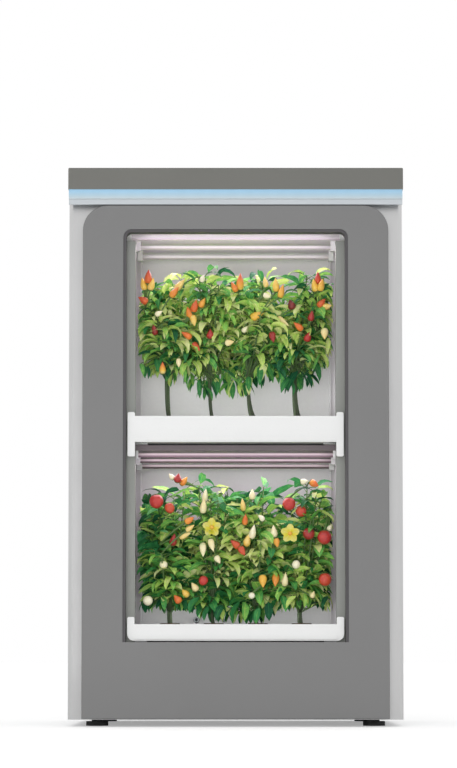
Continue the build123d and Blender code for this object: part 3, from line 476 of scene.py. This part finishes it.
def ring(axis):
    """Two directions square to each axis and to each other."""
    helper = np.where(np.abs(axis[..., 2:]) > 0.7, [1.0, 0.0, 0.0], [0.0, 0.0, 1.0])
    first = unit(np.cross(helper, axis))
    return first, np.cross(axis, first)


def curve(start, bend, end, t):
    """Points at t of the quadratic curve (1 - t)^2 start + 2 t (1 - t) bend + t^2 end."""
    return (1 - t) ** 2 * start + 2 * t * (1 - t) * bend + t**2 * end


def stalks(start, bend, end, thick, thin, rows=6, sides=6):
    """Stalks as grids over t, along the curve from start by way of bend to end, and an angle round it.

    The radius goes evenly from thick to thin.
    """
    t = np.linspace(0, 1, rows)[None, :, None]
    line = curve(start[:, None], bend[:, None], end[:, None], t)
    first, second = ring(unit(end - start))
    angle = np.linspace(0, 2 * math.pi, sides, endpoint=False)[:, None]
    spoke = np.cos(angle) * first[:, None] + np.sin(angle) * second[:, None]
    radius = (thick + (thin - thick) * t)[..., None]
    return line[:, :, None] + radius * spoke[:, None]


def fruits(middle, axis, length, radius, taper, reach=(0.05, 0.99), rows=12, sides=12):
    """Fruits as grids over s, along the axis from stalk end to tip, and an angle a round it.

    The radius is s^0.5 (1 - s)^p, with p = 0.5 + taper, scaled to a peak of one times the fruit's radius,
    with three shallow lobes, 1 + 0.05 cos(3 a). The middle line of tapered fruits bows sideways by an eighth
    of the length times taper sin(pi s). Reach gives the part of the length that is made, from 0 to 1, and s
    follows it as (1 - cos(pi reach)) / 2, closer together at the ends.
    """
    s = (1 - np.cos(np.linspace(*reach, rows) * math.pi)) / 2
    power = 0.5 + taper[:, None]
    peak = (0.5 / (0.5 + power)) ** 0.5 * (power / (0.5 + power)) ** power
    shape = radius[:, None] * s[None] ** 0.5 * (1 - s[None]) ** power / peak
    first, second = ring(axis)
    angle = np.linspace(0, 2 * math.pi, sides, endpoint=False)[:, None]
    lobes = 1 + 0.05 * np.cos(3 * angle)
    spoke = lobes * (np.cos(angle) * first[:, None] + np.sin(angle) * second[:, None])
    bow = np.sin(math.pi * s) * (length * taper)[:, None] / 8
    straight = middle[:, None] + axis[:, None] * ((s - 0.5) * length[:, None])[..., None]
    line = straight + first[:, None] * bow[..., None]
    return line[:, :, None] + shape[:, :, None, None] * spoke[:, None]


def petals(heart, size, rows=5, columns=5, count=5):
    """Flowers that face the front: petals as grids over p, from heart to tip, and q, from edge to edge.

    A petal runs out along its spoke by size times p. Its half width is 0.42 size sin(pi (0.12 + 0.8 p))^0.7,
    and it leans forward by a quarter of size times p squared.
    """
    p = np.linspace(0, 1, rows)[:, None, None]
    q = np.linspace(-1, 1, columns)[None, :, None]
    angle = np.arange(count) * 2 * math.pi / count + 0.3
    level = np.zeros_like(angle)
    spoke = np.stack([np.cos(angle), level, np.sin(angle)], -1)[:, None, None]
    across = np.stack([-np.sin(angle), level, np.cos(angle)], -1)[:, None, None]
    fat = 0.42 * np.sin(math.pi * (0.12 + 0.8 * p)) ** 0.7
    flower = p * spoke + fat * q * across + 0.25 * p**2 * FORWARD
    grids = heart[:, None, None, None] + size[:, None, None, None, None] * flower[None]
    return grids.reshape(-1, rows, columns, 3)


# The two tiers of plants

# Fruits seen from the front: middle x and z, length, radius, lean of the tip from straight up, tone at the
# stalk and change of tone to the tip. Millimetres and degrees.
UPPER_CONES = [
    (-158, 811, 27, 7, 3, 0.40, -0.2), (-167, 799, 25, 6.5, -14, 0.64, -0.1),
    (-152, 798, 25, 6.5, 17, 0.66, -0.05), (-101, 798, 28, 6.5, 42, 0.66, 0),
    (-111, 784, 25, 6.5, 40, 0.52, -0.15), (-60, 808, 15, 5, 20, 0.88, 0),
    (8, 803, 33, 7, 2, 0.72, -0.56), (-3, 793, 22, 5.5, -28, 0.50, -0.14), (54, 803, 21, 5, -10, 0.68, 0),
    (73, 797, 27, 6.5, -4, 0.62, 0), (83, 785, 27, 6, 14, 0.58, -0.1), (149, 809, 27, 6.5, 0, 0.34, -0.2),
    (143, 796, 25, 6.5, -12, 0.62, -0.05), (155, 796, 25, 6.5, 14, 0.60, -0.1),
    (-168, 770, 21, 7, -60, 0.36, -0.12), (-74, 758, 25, 7, 15, 0.38, -0.08),
    (-84, 747, 24, 7, -20, 0.50, -0.12), (-76, 732, 23, 6.5, 170, 0.62, 0.05),
    (-60, 764, 21, 6, 30, 0.46, 0.1), (39, 742, 28, 8, 70, 0.57, 0), (101, 761, 20, 7.5, -20, 0.05, 0),
    (156, 765, 21, 7, 40, 0.36, -0.1), (166, 758, 18, 6, 80, 0.60, 0.1), (137, 740, 21, 6, 10, 0.14, 0),
    (86, 731, 30, 5, 130, 0.70, 0.1), (-147, 715, 21, 6, -15, 0.09, 0),
    (-89, 705, 23, 6, -60, 0.44, -0.1), (-46, 708, 19, 7, 0, 0.16, 0), (-71, 684, 21, 6, 140, 0.28, 0),
    (-11, 693, 18, 6, 80, 0.82, -0.15), (67, 702, 22, 6.5, 170, 0.12, 0),
    (113, 721, 23, 6, -50, 0.44, -0.1), (131, 703, 20, 7, 20, 0.18, 0),
    (161, 708, 23, 7, 180, 0.84, -0.2), (-132, 645, 23, 6, 0, 0.80, -0.58),
    (57, 777, 16, 5, 110, 0.86, 0), (-139, 745, 16, 5, 60, 0.86, 0), (17, 717, 15, 5, 40, 0.86, 0),
    (-103, 655, 18, 5, 178, 0.80, 0),
]
LOWER_CONES = [
    (-104, 446, 18, 7, 10, 0.16, 0), (-93, 441, 20, 6, 40, 0.42, 0.1), (-116, 449, 14, 5, -40, 0.86, 0),
    (-55, 415, 25, 6, 8, 0.84, 0), (-58, 396, 30, 6.5, 5, 0.82, -0.08), (-83, 370, 20, 6, 60, 0.50, -0.1),
    (-92, 343, 24, 6, 70, 0.64, 0.1), (-82, 356, 20, 5, 55, 0.68, 0), (-112, 335, 24, 7, 10, 0.12, 0),
    (-59, 317, 28, 6.5, 178, 0.80, 0.06), (-43, 325, 26, 6, 165, 0.80, 0),
    (-32, 299, 17, 6, 150, 0.84, 0), (-1, 327, 22, 7, -50, 0.32, -0.1), (12, 314, 20, 6.5, 150, 0.26, 0),
    (21, 334, 25, 7, 15, 0.60, 0.1), (31, 349, 28, 6.5, 12, 0.84, 0.05), (30, 417, 20, 6, 0, 0.82, 0),
    (13, 398, 25, 5, -6, 0.66, 0), (17, 371, 22, 5.5, 4, 0.48, -0.2), (69, 350, 24, 6.5, -5, 0.80, 0.06),
    (74, 329, 18, 6, 170, 0.50, 0), (142, 436, 19, 6.5, 120, 0.50, -0.2),
    (124, 440, 15, 5.5, 80, 0.86, 0), (49, 260, 25, 7.5, 178, 0.56, 0), (72, 262, 25, 7, 184, 0.46, 0),
    (89, 263, 27, 6, 4, 0.80, 0), (-105, 228, 19, 7, -40, 0.42, -0.1), (-91, 239, 19, 6.5, -40, 0.62, 0),
    (-74, 250, 19, 6.5, -35, 0.76, 0), (170, 357, 14, 5, 30, 0.86, 0), (139, 236, 14, 5, 20, 0.78, 0),
    (46, 374, 15, 5, -50, 0.90, 0),
]
LOWER_ROUND = [
    (-143, 404, 26, 13, 175, 0.2, 0), (-119, 392, 20, 9, 160, 0.26, 0), (96, 399, 24, 12, 180, 0.2, 0),
    (118, 386, 20, 10, 165, 0.24, 0), (160, 339, 26, 13, 180, 0.17, 0.02),
    (132, 346, 22, 11, 190, 0.12, 0), (161, 263, 24, 12, 175, 0.22, 0.03),
    (-58, 261, 18, 8.5, 200, 0.2, 0), (-158, 225, 18, 9, 180, 0.88, 0), (29, 234, 12, 6, 180, 0.9, 0),
    (-130, 290, 15, 7.5, 170, 0.85, 0), (109, 290, 15, 8, 120, 0.88, 0),
]
# Flowers seen from the front: heart x and z and length of a petal, in millimetres.
LOWER_FLOWERS = [(-43, 357, 17), (98, 346, 17)]

# Lower edge of the foliage seen from the front, as x and z in metres.
UPPER_HEM = [
    (-0.178, 0.628), (-0.158, 0.624), (-0.144, 0.636), (-0.126, 0.602), (-0.112, 0.622), (-0.098, 0.632),
    (-0.082, 0.600), (-0.066, 0.588), (-0.048, 0.580), (-0.028, 0.602), (-0.005, 0.586), (0.024, 0.592),
    (0.036, 0.596), (0.050, 0.616), (0.078, 0.618), (0.097, 0.588), (0.120, 0.604), (0.140, 0.608),
    (0.152, 0.626), (0.165, 0.656), (0.178, 0.680),
]
LOWER_HEM = [
    (-0.178, 0.203), (-0.130, 0.201), (-0.085, 0.207), (-0.050, 0.186), (0.020, 0.182), (0.054, 0.183),
    (0.072, 0.200), (0.090, 0.205), (0.115, 0.208), (0.135, 0.214), (0.178, 0.200),
]


def patch(centre, across, height, wide, high):
    """One at the given spot of the front view, falling off as a bell curve."""
    return np.exp(-((centre[:, 0] - across) / wide) ** 2 - ((centre[:, 2] - height) / high) ** 2)


def upper_shade(centre):
    """Lighter in patches across the middle and at the right edge, darker low on the right: partly leaf
    colour, partly painted highlight and shade.
    """
    light = 0.30 * patch(centre, -0.05, 0.73, 0.10, 0.055) + 0.17 * patch(centre, 0.05, 0.72, 0.06, 0.05)
    edge = 0.18 * patch(centre, 0.16, 0.68, 0.03, 0.05)
    dark = 0.16 * patch(centre, 0.11, 0.645, 0.06, 0.045) + 0.06 * patch(centre, 0.07, 0.79, 0.07, 0.03)
    return 0.52 + light + edge - dark


def lower_shade(centre):
    """Lighter in the middle and low on the right, darker on the left, at the top and over the tray: partly
    leaf colour, partly painted highlight and shade; the darker top is painted shade.
    """
    light = 0.32 * patch(centre, 0.0, 0.335, 0.07, 0.05) + 0.15 * patch(centre, 0.095, 0.285, 0.04, 0.05)
    dark = 0.17 * patch(centre, -0.155, 0.34, 0.035, 0.07) + 0.14 * patch(centre, 0.0, 0.215, 0.06, 0.03)
    top = 0.15 * np.clip((centre[:, 2] - 0.385) / 0.05, 0, 1)
    return 0.52 + light - dark - top


# Each tier's plan: heights and places in metres, angles in radians, leaf widths as shares of the length.
UPPER_PLAN = {
    "tier": "upper",
    "plug_top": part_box("upper_grow_plugs")[1].z,
    "fork": 0.634,
    "stem_tops": (-0.127, -0.048, 0.023, 0.109),
    "crown": (0.646, 0.822),
    "roof": 0.838,
    "hem": UPPER_HEM,
    "hem_rise": 0.12,
    "branch_leaves": 31,
    "first_leaf": 0.3,
    "skirt_leaves": 130,
    "leaf_length": (0.026, 0.052),
    "leaf_width": (0.11, 0.18),
    "lift": (0.1, 1.0),
    "droop": (0.8, 2.3),
    "shade": upper_shade,
    "leaf_skin": upper_leaf,
    "cones": UPPER_CONES,
    "rounds": [],
    "flowers": [],
}
LOWER_PLAN = {
    "tier": "lower",
    "plug_top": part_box("lower_grow_plugs")[1].z,
    "fork": 0.206,
    "stem_tops": (-0.122, -0.043, 0.036, 0.118),
    "crown": (0.206, 0.438),
    "roof": 0.458,
    "hem": LOWER_HEM,
    "hem_rise": 0.02,
    "branch_leaves": 26,
    "first_leaf": 0.1,
    "skirt_leaves": 110,
    "leaf_length": (0.025, 0.051),
    "leaf_width": (0.14, 0.22),
    "lift": (0.0, 0.9),
    "droop": (0.5, 1.8),
    "shade": lower_shade,
    "leaf_skin": lower_leaf,
    "cones": LOWER_CONES,
    "rounds": LOWER_ROUND,
    "flowers": LOWER_FLOWERS,
}

# Stems and branches. The plants are turned and their branches' heights shifted, each against the one before.
POT_COLUMNS = np.array([-0.12, -0.04, 0.04, 0.12])
ROOT_ROWS = (-0.121, 0.007)
ROOT_DEPTH = 0.003
STEM_TOP_ROWS = (-0.119, 0.007)
STEM_BEND = 0.12
STEM_RADII = (0.0033, 0.0027)
BRANCHES = 16
BRANCH_RADII = (0.0024, 0.0011)
BRANCH_SPREAD = (0.050, 0.054)
BRANCH_BOW = 0.25
BRANCH_RISE = 0.012
PLANT_TURN = 1.3
PLANT_SHIFT = 0.37
PLANT_SPACING = 1.06
FRONT_ROW_FORWARD = 0.004
CROWN_POWER = 0.62
OVER_HEM = 0.02

# Leaves. A skirt of them hangs at the hem, and all stay in the room over the tray.
PLANT_FRONT = -0.18
ROOM_SIDE = 0.1775
ROOM_FRONT = -0.182
ROOM_BACK = 0.082
FARTHEST_PUSH = 0.025
TIP_CROWDING = 0.7
NODE_JITTER = (-0.03, 0.0)
HEADING_JITTER = (-0.5, 0.5)
LEAF_STALK_CLIMB = (0.1, 0.9)
LEAF_STALK_LENGTH = (0.008, 0.022)
LEAF_STALK_RADII = (0.0009, 0.0006)
LEAF_STALK_RISE = 0.002
LEAF_FOLD = (0.1, 0.5)
LEAF_ROLL = (-0.7, 0.7)
SKIRT_SIDE = 0.172
SKIRT_FRONT = -0.174
SKIRT_DEPTH = 0.14
SKIRT_HANG = 0.85
SKIRT_HEADING = (-2.9, -0.2)
SKIRT_LIFT = (-0.9, -0.3)
SKIRT_DROOP = (0.6, 0.9)
SKIRT_SHADOW = 0.1
SHADE_SPREAD = 0.27
SHADE_LIMITS = (0.05, 0.88)
TIP_SHADE = 0.06

# Fruits and flowers. A heart's sizes are shares of a petal's length.
FRUIT_FRONT = -0.175
FRUIT_DEPTH = 0.012
FRUIT_FORWARD = 0.25
FRUIT_CLEARING = (0.010, 0.012)
CLEARING_BACK = -0.155
CONE_TAPER = 0.55
CAP_REACH = (0.03, 0.2)
CAP_FIT = 1.07
CAP_BACK = 0.0006
FRUIT_STALK_RADII = (0.0010, 0.0022)
FRUIT_STALK_DEPTH = 0.002
FLOWER_FRONT = -0.172
FLOWER_STALK_RADII = (0.0010, 0.0010)
HEART_LENGTH = 0.5
HEART_RADIUS = 0.25
HEART_TONE = 0.56
HANG_RISE = 0.006
rng = np.random.default_rng(11)


def hem_height(plan, across, behind):
    """Height of the foliage's lower edge, which rises evenly towards the back."""
    hem_across, hem_up = np.array(plan["hem"]).T
    return np.interp(across, hem_across, hem_up) + plan["hem_rise"] * (behind - PLANT_FRONT)


def nearest(points, targets):
    """For each point, the index of the target that lies nearest to it."""
    return np.argmin(np.linalg.norm(points[:, None] - targets[None], axis=-1), axis=1)


def plant_stems(plan):
    """Roots, bends and tops of eight stems, in two rows of four."""
    roots = np.array([(x, y, plan["plug_top"] - ROOT_DEPTH) for y in ROOT_ROWS for x in POT_COLUMNS])
    tops = np.array([(x, y, plan["fork"]) for y in STEM_TOP_ROWS for x in plan["stem_tops"]])
    bends = tops.copy()
    bends[:, 2] = plan["plug_top"] + STEM_BEND * (plan["fork"] - plan["plug_top"])
    return roots, bends, tops


def plant_branches(plan, tops):
    """Starts, bends and ends of the branches.

    The ends are spread round each plant's middle by the golden angle, at even steps of area, and lie over
    the hem. A bend lies past the middle of its branch by a share of the branch's reach, and a little higher.
    """
    k = np.tile(np.arange(BRANCHES), len(tops))
    owner = np.repeat(np.arange(len(tops)), BRANCHES)
    turn = k * GOLDEN_ANGLE + owner * PLANT_TURN
    radius = np.sqrt((k + 0.5) / BRANCHES)
    forward = np.where(owner < len(POT_COLUMNS), FRONT_ROW_FORWARD, 0.0)
    height = ((k * GOLDEN_SHARE + owner * PLANT_SHIFT) % 1.0) ** CROWN_POWER
    low, high = plan["crown"]
    across = np.tile(POT_COLUMNS, 2)[owner] * PLANT_SPACING + BRANCH_SPREAD[0] * radius * np.cos(turn)
    behind = tops[owner, 1] - forward + BRANCH_SPREAD[1] * radius * np.sin(turn)
    lowest = hem_height(plan, across, behind) + OVER_HEM
    ends = np.stack([across, behind, np.maximum(low + (high - low) * height, lowest)], -1)
    starts = tops[owner]
    bends = (starts + ends) / 2 + (ends - starts) * [BRANCH_BOW, BRANCH_BOW, 0.0] + BRANCH_RISE * UP
    return starts, bends, ends


def branch_leaves(plan, starts, bends, ends):
    """Leaves along the branches, turned by the golden angle and closer together towards the tips.

    A leaf has a node on its branch, a base at the end of its stalk, a heading, a length, a lift and a droop.
    """
    each = plan["branch_leaves"]
    total = len(ends) * each
    along = plan["first_leaf"] + (1 - plan["first_leaf"]) * np.linspace(0, 1, each) ** TIP_CROWDING
    t = np.tile(along, len(ends))[:, None] + rng.uniform(*NODE_JITTER, (total, 1))
    which = np.repeat(np.arange(len(ends)), each)
    node = curve(starts[which], bends[which], ends[which], t)
    heading = np.arange(total) * GOLDEN_ANGLE + rng.uniform(*HEADING_JITTER, total)
    outward = np.stack([np.cos(heading), np.sin(heading), rng.uniform(*LEAF_STALK_CLIMB, total)], -1)
    base = node + unit(outward) * rng.uniform(*LEAF_STALK_LENGTH, total)[:, None]
    length = rng.uniform(*plan["leaf_length"], total)
    lift = rng.uniform(*plan["lift"], total)
    droop = rng.uniform(*plan["droop"], total)
    return node, base, heading, length, lift, droop


def skirt_leaves(plan, carriers):
    """Leaves that hang down to the hem, each from the nearest of the carriers, with the same six values."""
    total = plan["skirt_leaves"]
    across = np.linspace(-SKIRT_SIDE, SKIRT_SIDE, total)
    behind = SKIRT_FRONT + SKIRT_DEPTH * (np.arange(total) * GOLDEN_SHARE % 1)
    length = rng.uniform(*plan["leaf_length"], total)
    height = hem_height(plan, across, behind) + SKIRT_HANG * length
    base = np.stack([across, behind, height], -1)
    node = carriers[nearest(base, carriers)]
    heading = rng.uniform(*SKIRT_HEADING, total)
    lift = rng.uniform(*SKIRT_LIFT, total)
    droop = rng.uniform(*SKIRT_DROOP, total)
    return node, base, heading, length, lift, droop


def push_into_room(plan, points):
    """How far each leaf has to move to lie over the hem and in the room over the tray."""
    across, behind = points.mean(axis=(1, 2))[:, :2].T
    left = np.full(len(points), -ROOM_SIDE)
    front = np.full(len(points), ROOM_FRONT)
    room_low = np.stack([left, front, hem_height(plan, across, behind)], -1)
    room_high = np.array([ROOM_SIDE, ROOM_BACK, plan["roof"]])
    too_low = np.maximum(room_low - points.min(axis=(1, 2)), 0)
    too_high = np.maximum(points.max(axis=(1, 2)) - room_high, 0)
    return too_low - too_high


def cover_fruit(centre, spots):
    """Which leaves are at the front and would cover a fruit at one of the spots."""
    apart = np.abs(centre[:, None] - spots[None])
    close = (apart[..., [0, 2]] < FRUIT_CLEARING).all(axis=-1)
    return close.any(axis=1) & (centre[:, 1] < CLEARING_BACK)


def plant_leaves(plan, starts, bends, ends, spots):
    """Leaf blades with the ends of their stalks and a shade for each.

    Leaves that would leave the room over the tray are pushed back into it, and those that would be pushed far
    or would cover a fruit are left out.
    """
    standing = branch_leaves(plan, starts, bends, ends)
    hanging = skirt_leaves(plan, standing[0])
    node, base, heading, length, lift, droop = map(np.concatenate, zip(standing, hanging))
    total = len(node)
    width = length * rng.uniform(*plan["leaf_width"], total)
    fold = rng.uniform(*LEAF_FOLD, total)
    roll = rng.uniform(*LEAF_ROLL, total)
    points = blades(base, heading, lift, droop, length, width, fold, roll)
    push = push_into_room(plan, points)
    points = points + push[:, None, None]
    base = base + push
    centre = points.mean(axis=(1, 2))
    keep = (np.abs(push) < FARTHEST_PUSH).all(axis=1) & ~cover_fruit(centre, spots)
    in_skirt = np.arange(total) >= len(standing[0])
    shade = plan["shade"](centre) - SKIRT_SHADOW * in_skirt
    bright = shade[keep] + rng.normal(0, SHADE_SPREAD, keep.sum())
    return points[keep], node[keep], base[keep], np.clip(bright, *SHADE_LIMITS)


def fruit_list(plan):
    """Places, tip directions, lengths, radii, tapers and tones of a tier's fruits, at uneven depths."""
    rows = np.array(plan["cones"] + plan["rounds"], dtype=float)
    taper = np.repeat([CONE_TAPER, 0.0], [len(plan["cones"]), len(plan["rounds"])])
    lean = np.radians(rows[:, 4])
    tip = unit(np.stack([np.sin(lean), np.full(len(rows), -FRUIT_FORWARD), np.cos(lean)], -1))
    behind = FRUIT_FRONT + FRUIT_DEPTH * (np.arange(len(rows)) * GOLDEN_SHARE % 1)
    spots = np.stack([rows[:, 0] / 1000, behind, rows[:, 1] / 1000], -1)
    return spots, tip, rows[:, 2] / 1000, rows[:, 3] / 1000, taper, rows[:, 5:7]


def add_fruits(tier, body, ends, spots, tip, length, radius, taper, tones):
    """Fruits with their caps, on stalks from the nearest branch ends."""
    skins = fruits(spots, tip, length, radius, taper)
    first_tone, change = tones.T[..., None, None]
    add_piece(f"{tier}_fruits", skins, True, pepper_skin, body, tone=first_tone + change * lengthwise(skins))
    caps = fruits(spots - CAP_BACK * tip, tip, length, radius * CAP_FIT, taper, CAP_REACH, 4)
    add_piece(f"{tier}_fruit_caps", caps, True, stalk_skin, body, age=0.2)
    hang = spots - tip * length[:, None] * 0.5
    carrier = ends[nearest(hang, ends)]
    seat = hang + tip * FRUIT_STALK_DEPTH
    stalk = stalks(carrier, (carrier + hang) / 2 + HANG_RISE * UP, seat, *FRUIT_STALK_RADII)
    add_piece(f"{tier}_fruit_stalks", stalk, True, stalk_skin, body, age=0.15)


def add_flowers(tier, body, ends, flowers):
    """Flowers with round hearts, on stalks from the nearest branch ends."""
    across, height, size = np.array(flowers, dtype=float).T / 1000
    hearts = np.stack([across, np.full(len(size), FLOWER_FRONT), height], -1)
    blooms = petals(hearts, size)
    add_piece(f"{tier}_flowers", blooms, False, petal_skin, body, along=lengthwise(blooms),
              across=crosswise(blooms), shade=0.4 + 0.3 * lengthwise(blooms))
    facing = np.broadcast_to(FORWARD, hearts.shape)
    straight = np.zeros(len(size))
    buds = fruits(hearts, facing, HEART_LENGTH * size, HEART_RADIUS * size, straight, rows=6, sides=8)
    add_piece(f"{tier}_flower_hearts", buds, True, pepper_skin, body, tone=HEART_TONE)
    carrier = ends[nearest(hearts, ends)]
    stalk = stalks(carrier, (carrier + hearts) / 2 + HANG_RISE * UP, hearts, *FLOWER_STALK_RADII)
    add_piece(f"{tier}_flower_stalks", stalk, True, stalk_skin, body, age=0.15)


def grow(plan):
    """One tier of eight plants: stems that fork, leafy branches, fruits on stalks and flowers."""
    tier = plan["tier"]
    body = f"{tier}_drawer"
    roots, stem_bends, tops = plant_stems(plan)
    starts, bends, ends = plant_branches(plan, tops)
    fruit = fruit_list(plan)
    points, node, base, bright = plant_leaves(plan, starts, bends, ends, fruit[0])
    shade = bright[:, None, None] + TIP_SHADE * lengthwise(points)
    foliage = add_piece(f"{tier}_foliage", points, False, plan["leaf_skin"], body, along=lengthwise(points),
                        across=crosswise(points), shade=shade)
    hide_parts(f"{tier}_plants")

    stem = stalks(roots, stem_bends, tops, *STEM_RADII, 8, 8)
    add_piece(f"{tier}_stems", stem, True, stalk_skin, body, age=1.0 - 0.5 * lengthwise(stem))
    branch = stalks(starts, bends, ends, *BRANCH_RADII, 8)
    add_piece(f"{tier}_branches", branch, True, stalk_skin, body, age=0.5 - 0.4 * lengthwise(branch))
    leaf_stalk = stalks(node, (node + base) / 2 + LEAF_STALK_RISE * UP, base, *LEAF_STALK_RADII, 4, 4)
    add_piece(f"{tier}_leaf_stalks", leaf_stalk, True, stalk_skin, body, age=0.1)
    add_fruits(tier, body, ends, *fruit)
    if plan["flowers"]:
        add_flowers(tier, body, ends, plan["flowers"])


grow(UPPER_PLAN)
grow(LOWER_PLAN)

# Floor, light and camera

WHITE = (1.0, 1.0, 1.0)
GROW_LIGHT = (1.0, 0.86, 0.95)
WALL_LIGHT = (0.95, 0.74, 1.0)
FLOOR_REACH = 60.0
FLOOR_GREYS = [(0.3, (0.93, 0.93, 0.93)), (0.7, (0.95, 0.95, 0.95))]
FLOOR_WHITENING = 0.33
ROOM_LIGHT = 0.72
BACKGROUND = 1.0
# Lamps: name, width and height, watts, place, tilt up from straight down about X in degrees, whether shiny
# faces show it, and colour.
LAMPS = [
    ("key", (0.8, 0.6), 24.0, (-0.3, -2.6, 0.32), 94, False, WHITE),
    ("upper_glow", (0.36, 0.16), 0.6, (0.0, -0.10, 0.868), 0, True, GROW_LIGHT),
    ("lower_glow", (0.34, 0.16), 0.6, (0.0, -0.10, 0.472), 0, True, GROW_LIGHT),
    ("upper_wall_glow", (0.34, 0.02), 0.12, (0.0, -0.17, 0.858), 90, False, WALL_LIGHT),
    ("lower_wall_glow", (0.34, 0.014), 0.10, (0.0, -0.17, 0.467), 90, False, WALL_LIGHT),
    ("upper_stem_glow", (0.34, 0.02), 0.18, (0.0, -0.08, 0.572), 90, False, WHITE),
    ("lower_stem_glow", (0.34, 0.012), 0.10, (0.0, -0.03, 0.196), 90, False, WHITE),
]
SENSOR_MM = 36.0
LENS_MM = 110.86
LENS_SHIFT = (-0.0093, 0.1968)
CAMERA_PLACE = (0.0, -4.425, 0.12)
CAMERA_TILT = 93.0
VIEW_REACH = 200.0


def add_floor():
    """A wide pale floor that looks white to the camera and keeps the cabinet's shadow."""
    corners = [(x * FLOOR_REACH, y * FLOOR_REACH, 0) for x, y in ((-1, -1), (1, -1), (1, 1), (-1, 1))]
    mesh = bpy.data.meshes.new("floor")
    mesh.from_pydata(corners, [], [(0, 1, 2, 3)])
    material, tree, shader, place = start_material("floor")
    link(tree, ramp(tree, noise(tree, place, 2.0), FLOOR_GREYS), shader.inputs["Base Color"])
    shader.inputs["Roughness"].default_value = 0.8
    shader.inputs["Specular IOR Level"].default_value = 0.1
    seen = tree.nodes.new("ShaderNodeLightPath").outputs["Is Camera Ray"]
    link(tree, math_node(tree, "MULTIPLY", seen, FLOOR_WHITENING), shader.inputs["Emission Strength"])
    shader.inputs["Emission Color"].default_value = (*WHITE, 1.0)
    mesh.materials.append(material)
    floor = bpy.data.objects.new("floor", mesh)
    scene.collection.objects.link(floor)


def add_world():
    """Soft light from all round, and white where the camera, shiny faces or clear plastic show it."""
    world = bpy.data.worlds.new("studio")
    scene.world = world
    world.use_nodes = True
    tree = world.node_tree
    tree.nodes.clear()
    output = tree.nodes.new("ShaderNodeOutputWorld")
    mix = tree.nodes.new("ShaderNodeMixShader")
    for strength, socket in ((ROOM_LIGHT, mix.inputs[1]), (BACKGROUND, mix.inputs[2])):
        light = tree.nodes.new("ShaderNodeBackground")
        light.inputs["Color"].default_value = (*WHITE, 1.0)
        light.inputs["Strength"].default_value = strength
        link(tree, light.outputs[0], socket)
    path = tree.nodes.new("ShaderNodeLightPath").outputs
    seen = math_node(tree, "MAXIMUM", path["Is Camera Ray"], path["Is Glossy Ray"])
    link(tree, math_node(tree, "MAXIMUM", seen, path["Is Transmission Ray"]), mix.inputs["Fac"])
    link(tree, mix.outputs[0], output.inputs["Surface"])


def add_lamp(name, size, watts, place, tilt, shows, colour):
    """A rectangular soft lamp that the camera doesn't see."""
    light = bpy.data.lights.new(name, "AREA")
    light.shape = "RECTANGLE"
    light.size, light.size_y = size
    light.energy = watts
    light.color = colour
    lamp = bpy.data.objects.new(name, light)
    lamp.location = place
    lamp.rotation_euler = (math.radians(tilt), 0, 0)
    lamp.visible_camera = False
    lamp.visible_glossy = shows
    scene.collection.objects.link(lamp)


def add_camera():
    lens = bpy.data.cameras.new("camera")
    lens.sensor_width = SENSOR_MM
    lens.lens = LENS_MM
    lens.shift_x, lens.shift_y = LENS_SHIFT
    lens.clip_end = VIEW_REACH
    camera = bpy.data.objects.new("camera", lens)
    camera.location = CAMERA_PLACE
    camera.rotation_euler = (math.radians(CAMERA_TILT), 0, 0)
    scene.collection.objects.link(camera)
    scene.camera = camera


add_floor()
add_world()
for lamp in LAMPS:
    add_lamp(*lamp)
add_camera()
scene.view_settings.view_transform = "Standard"
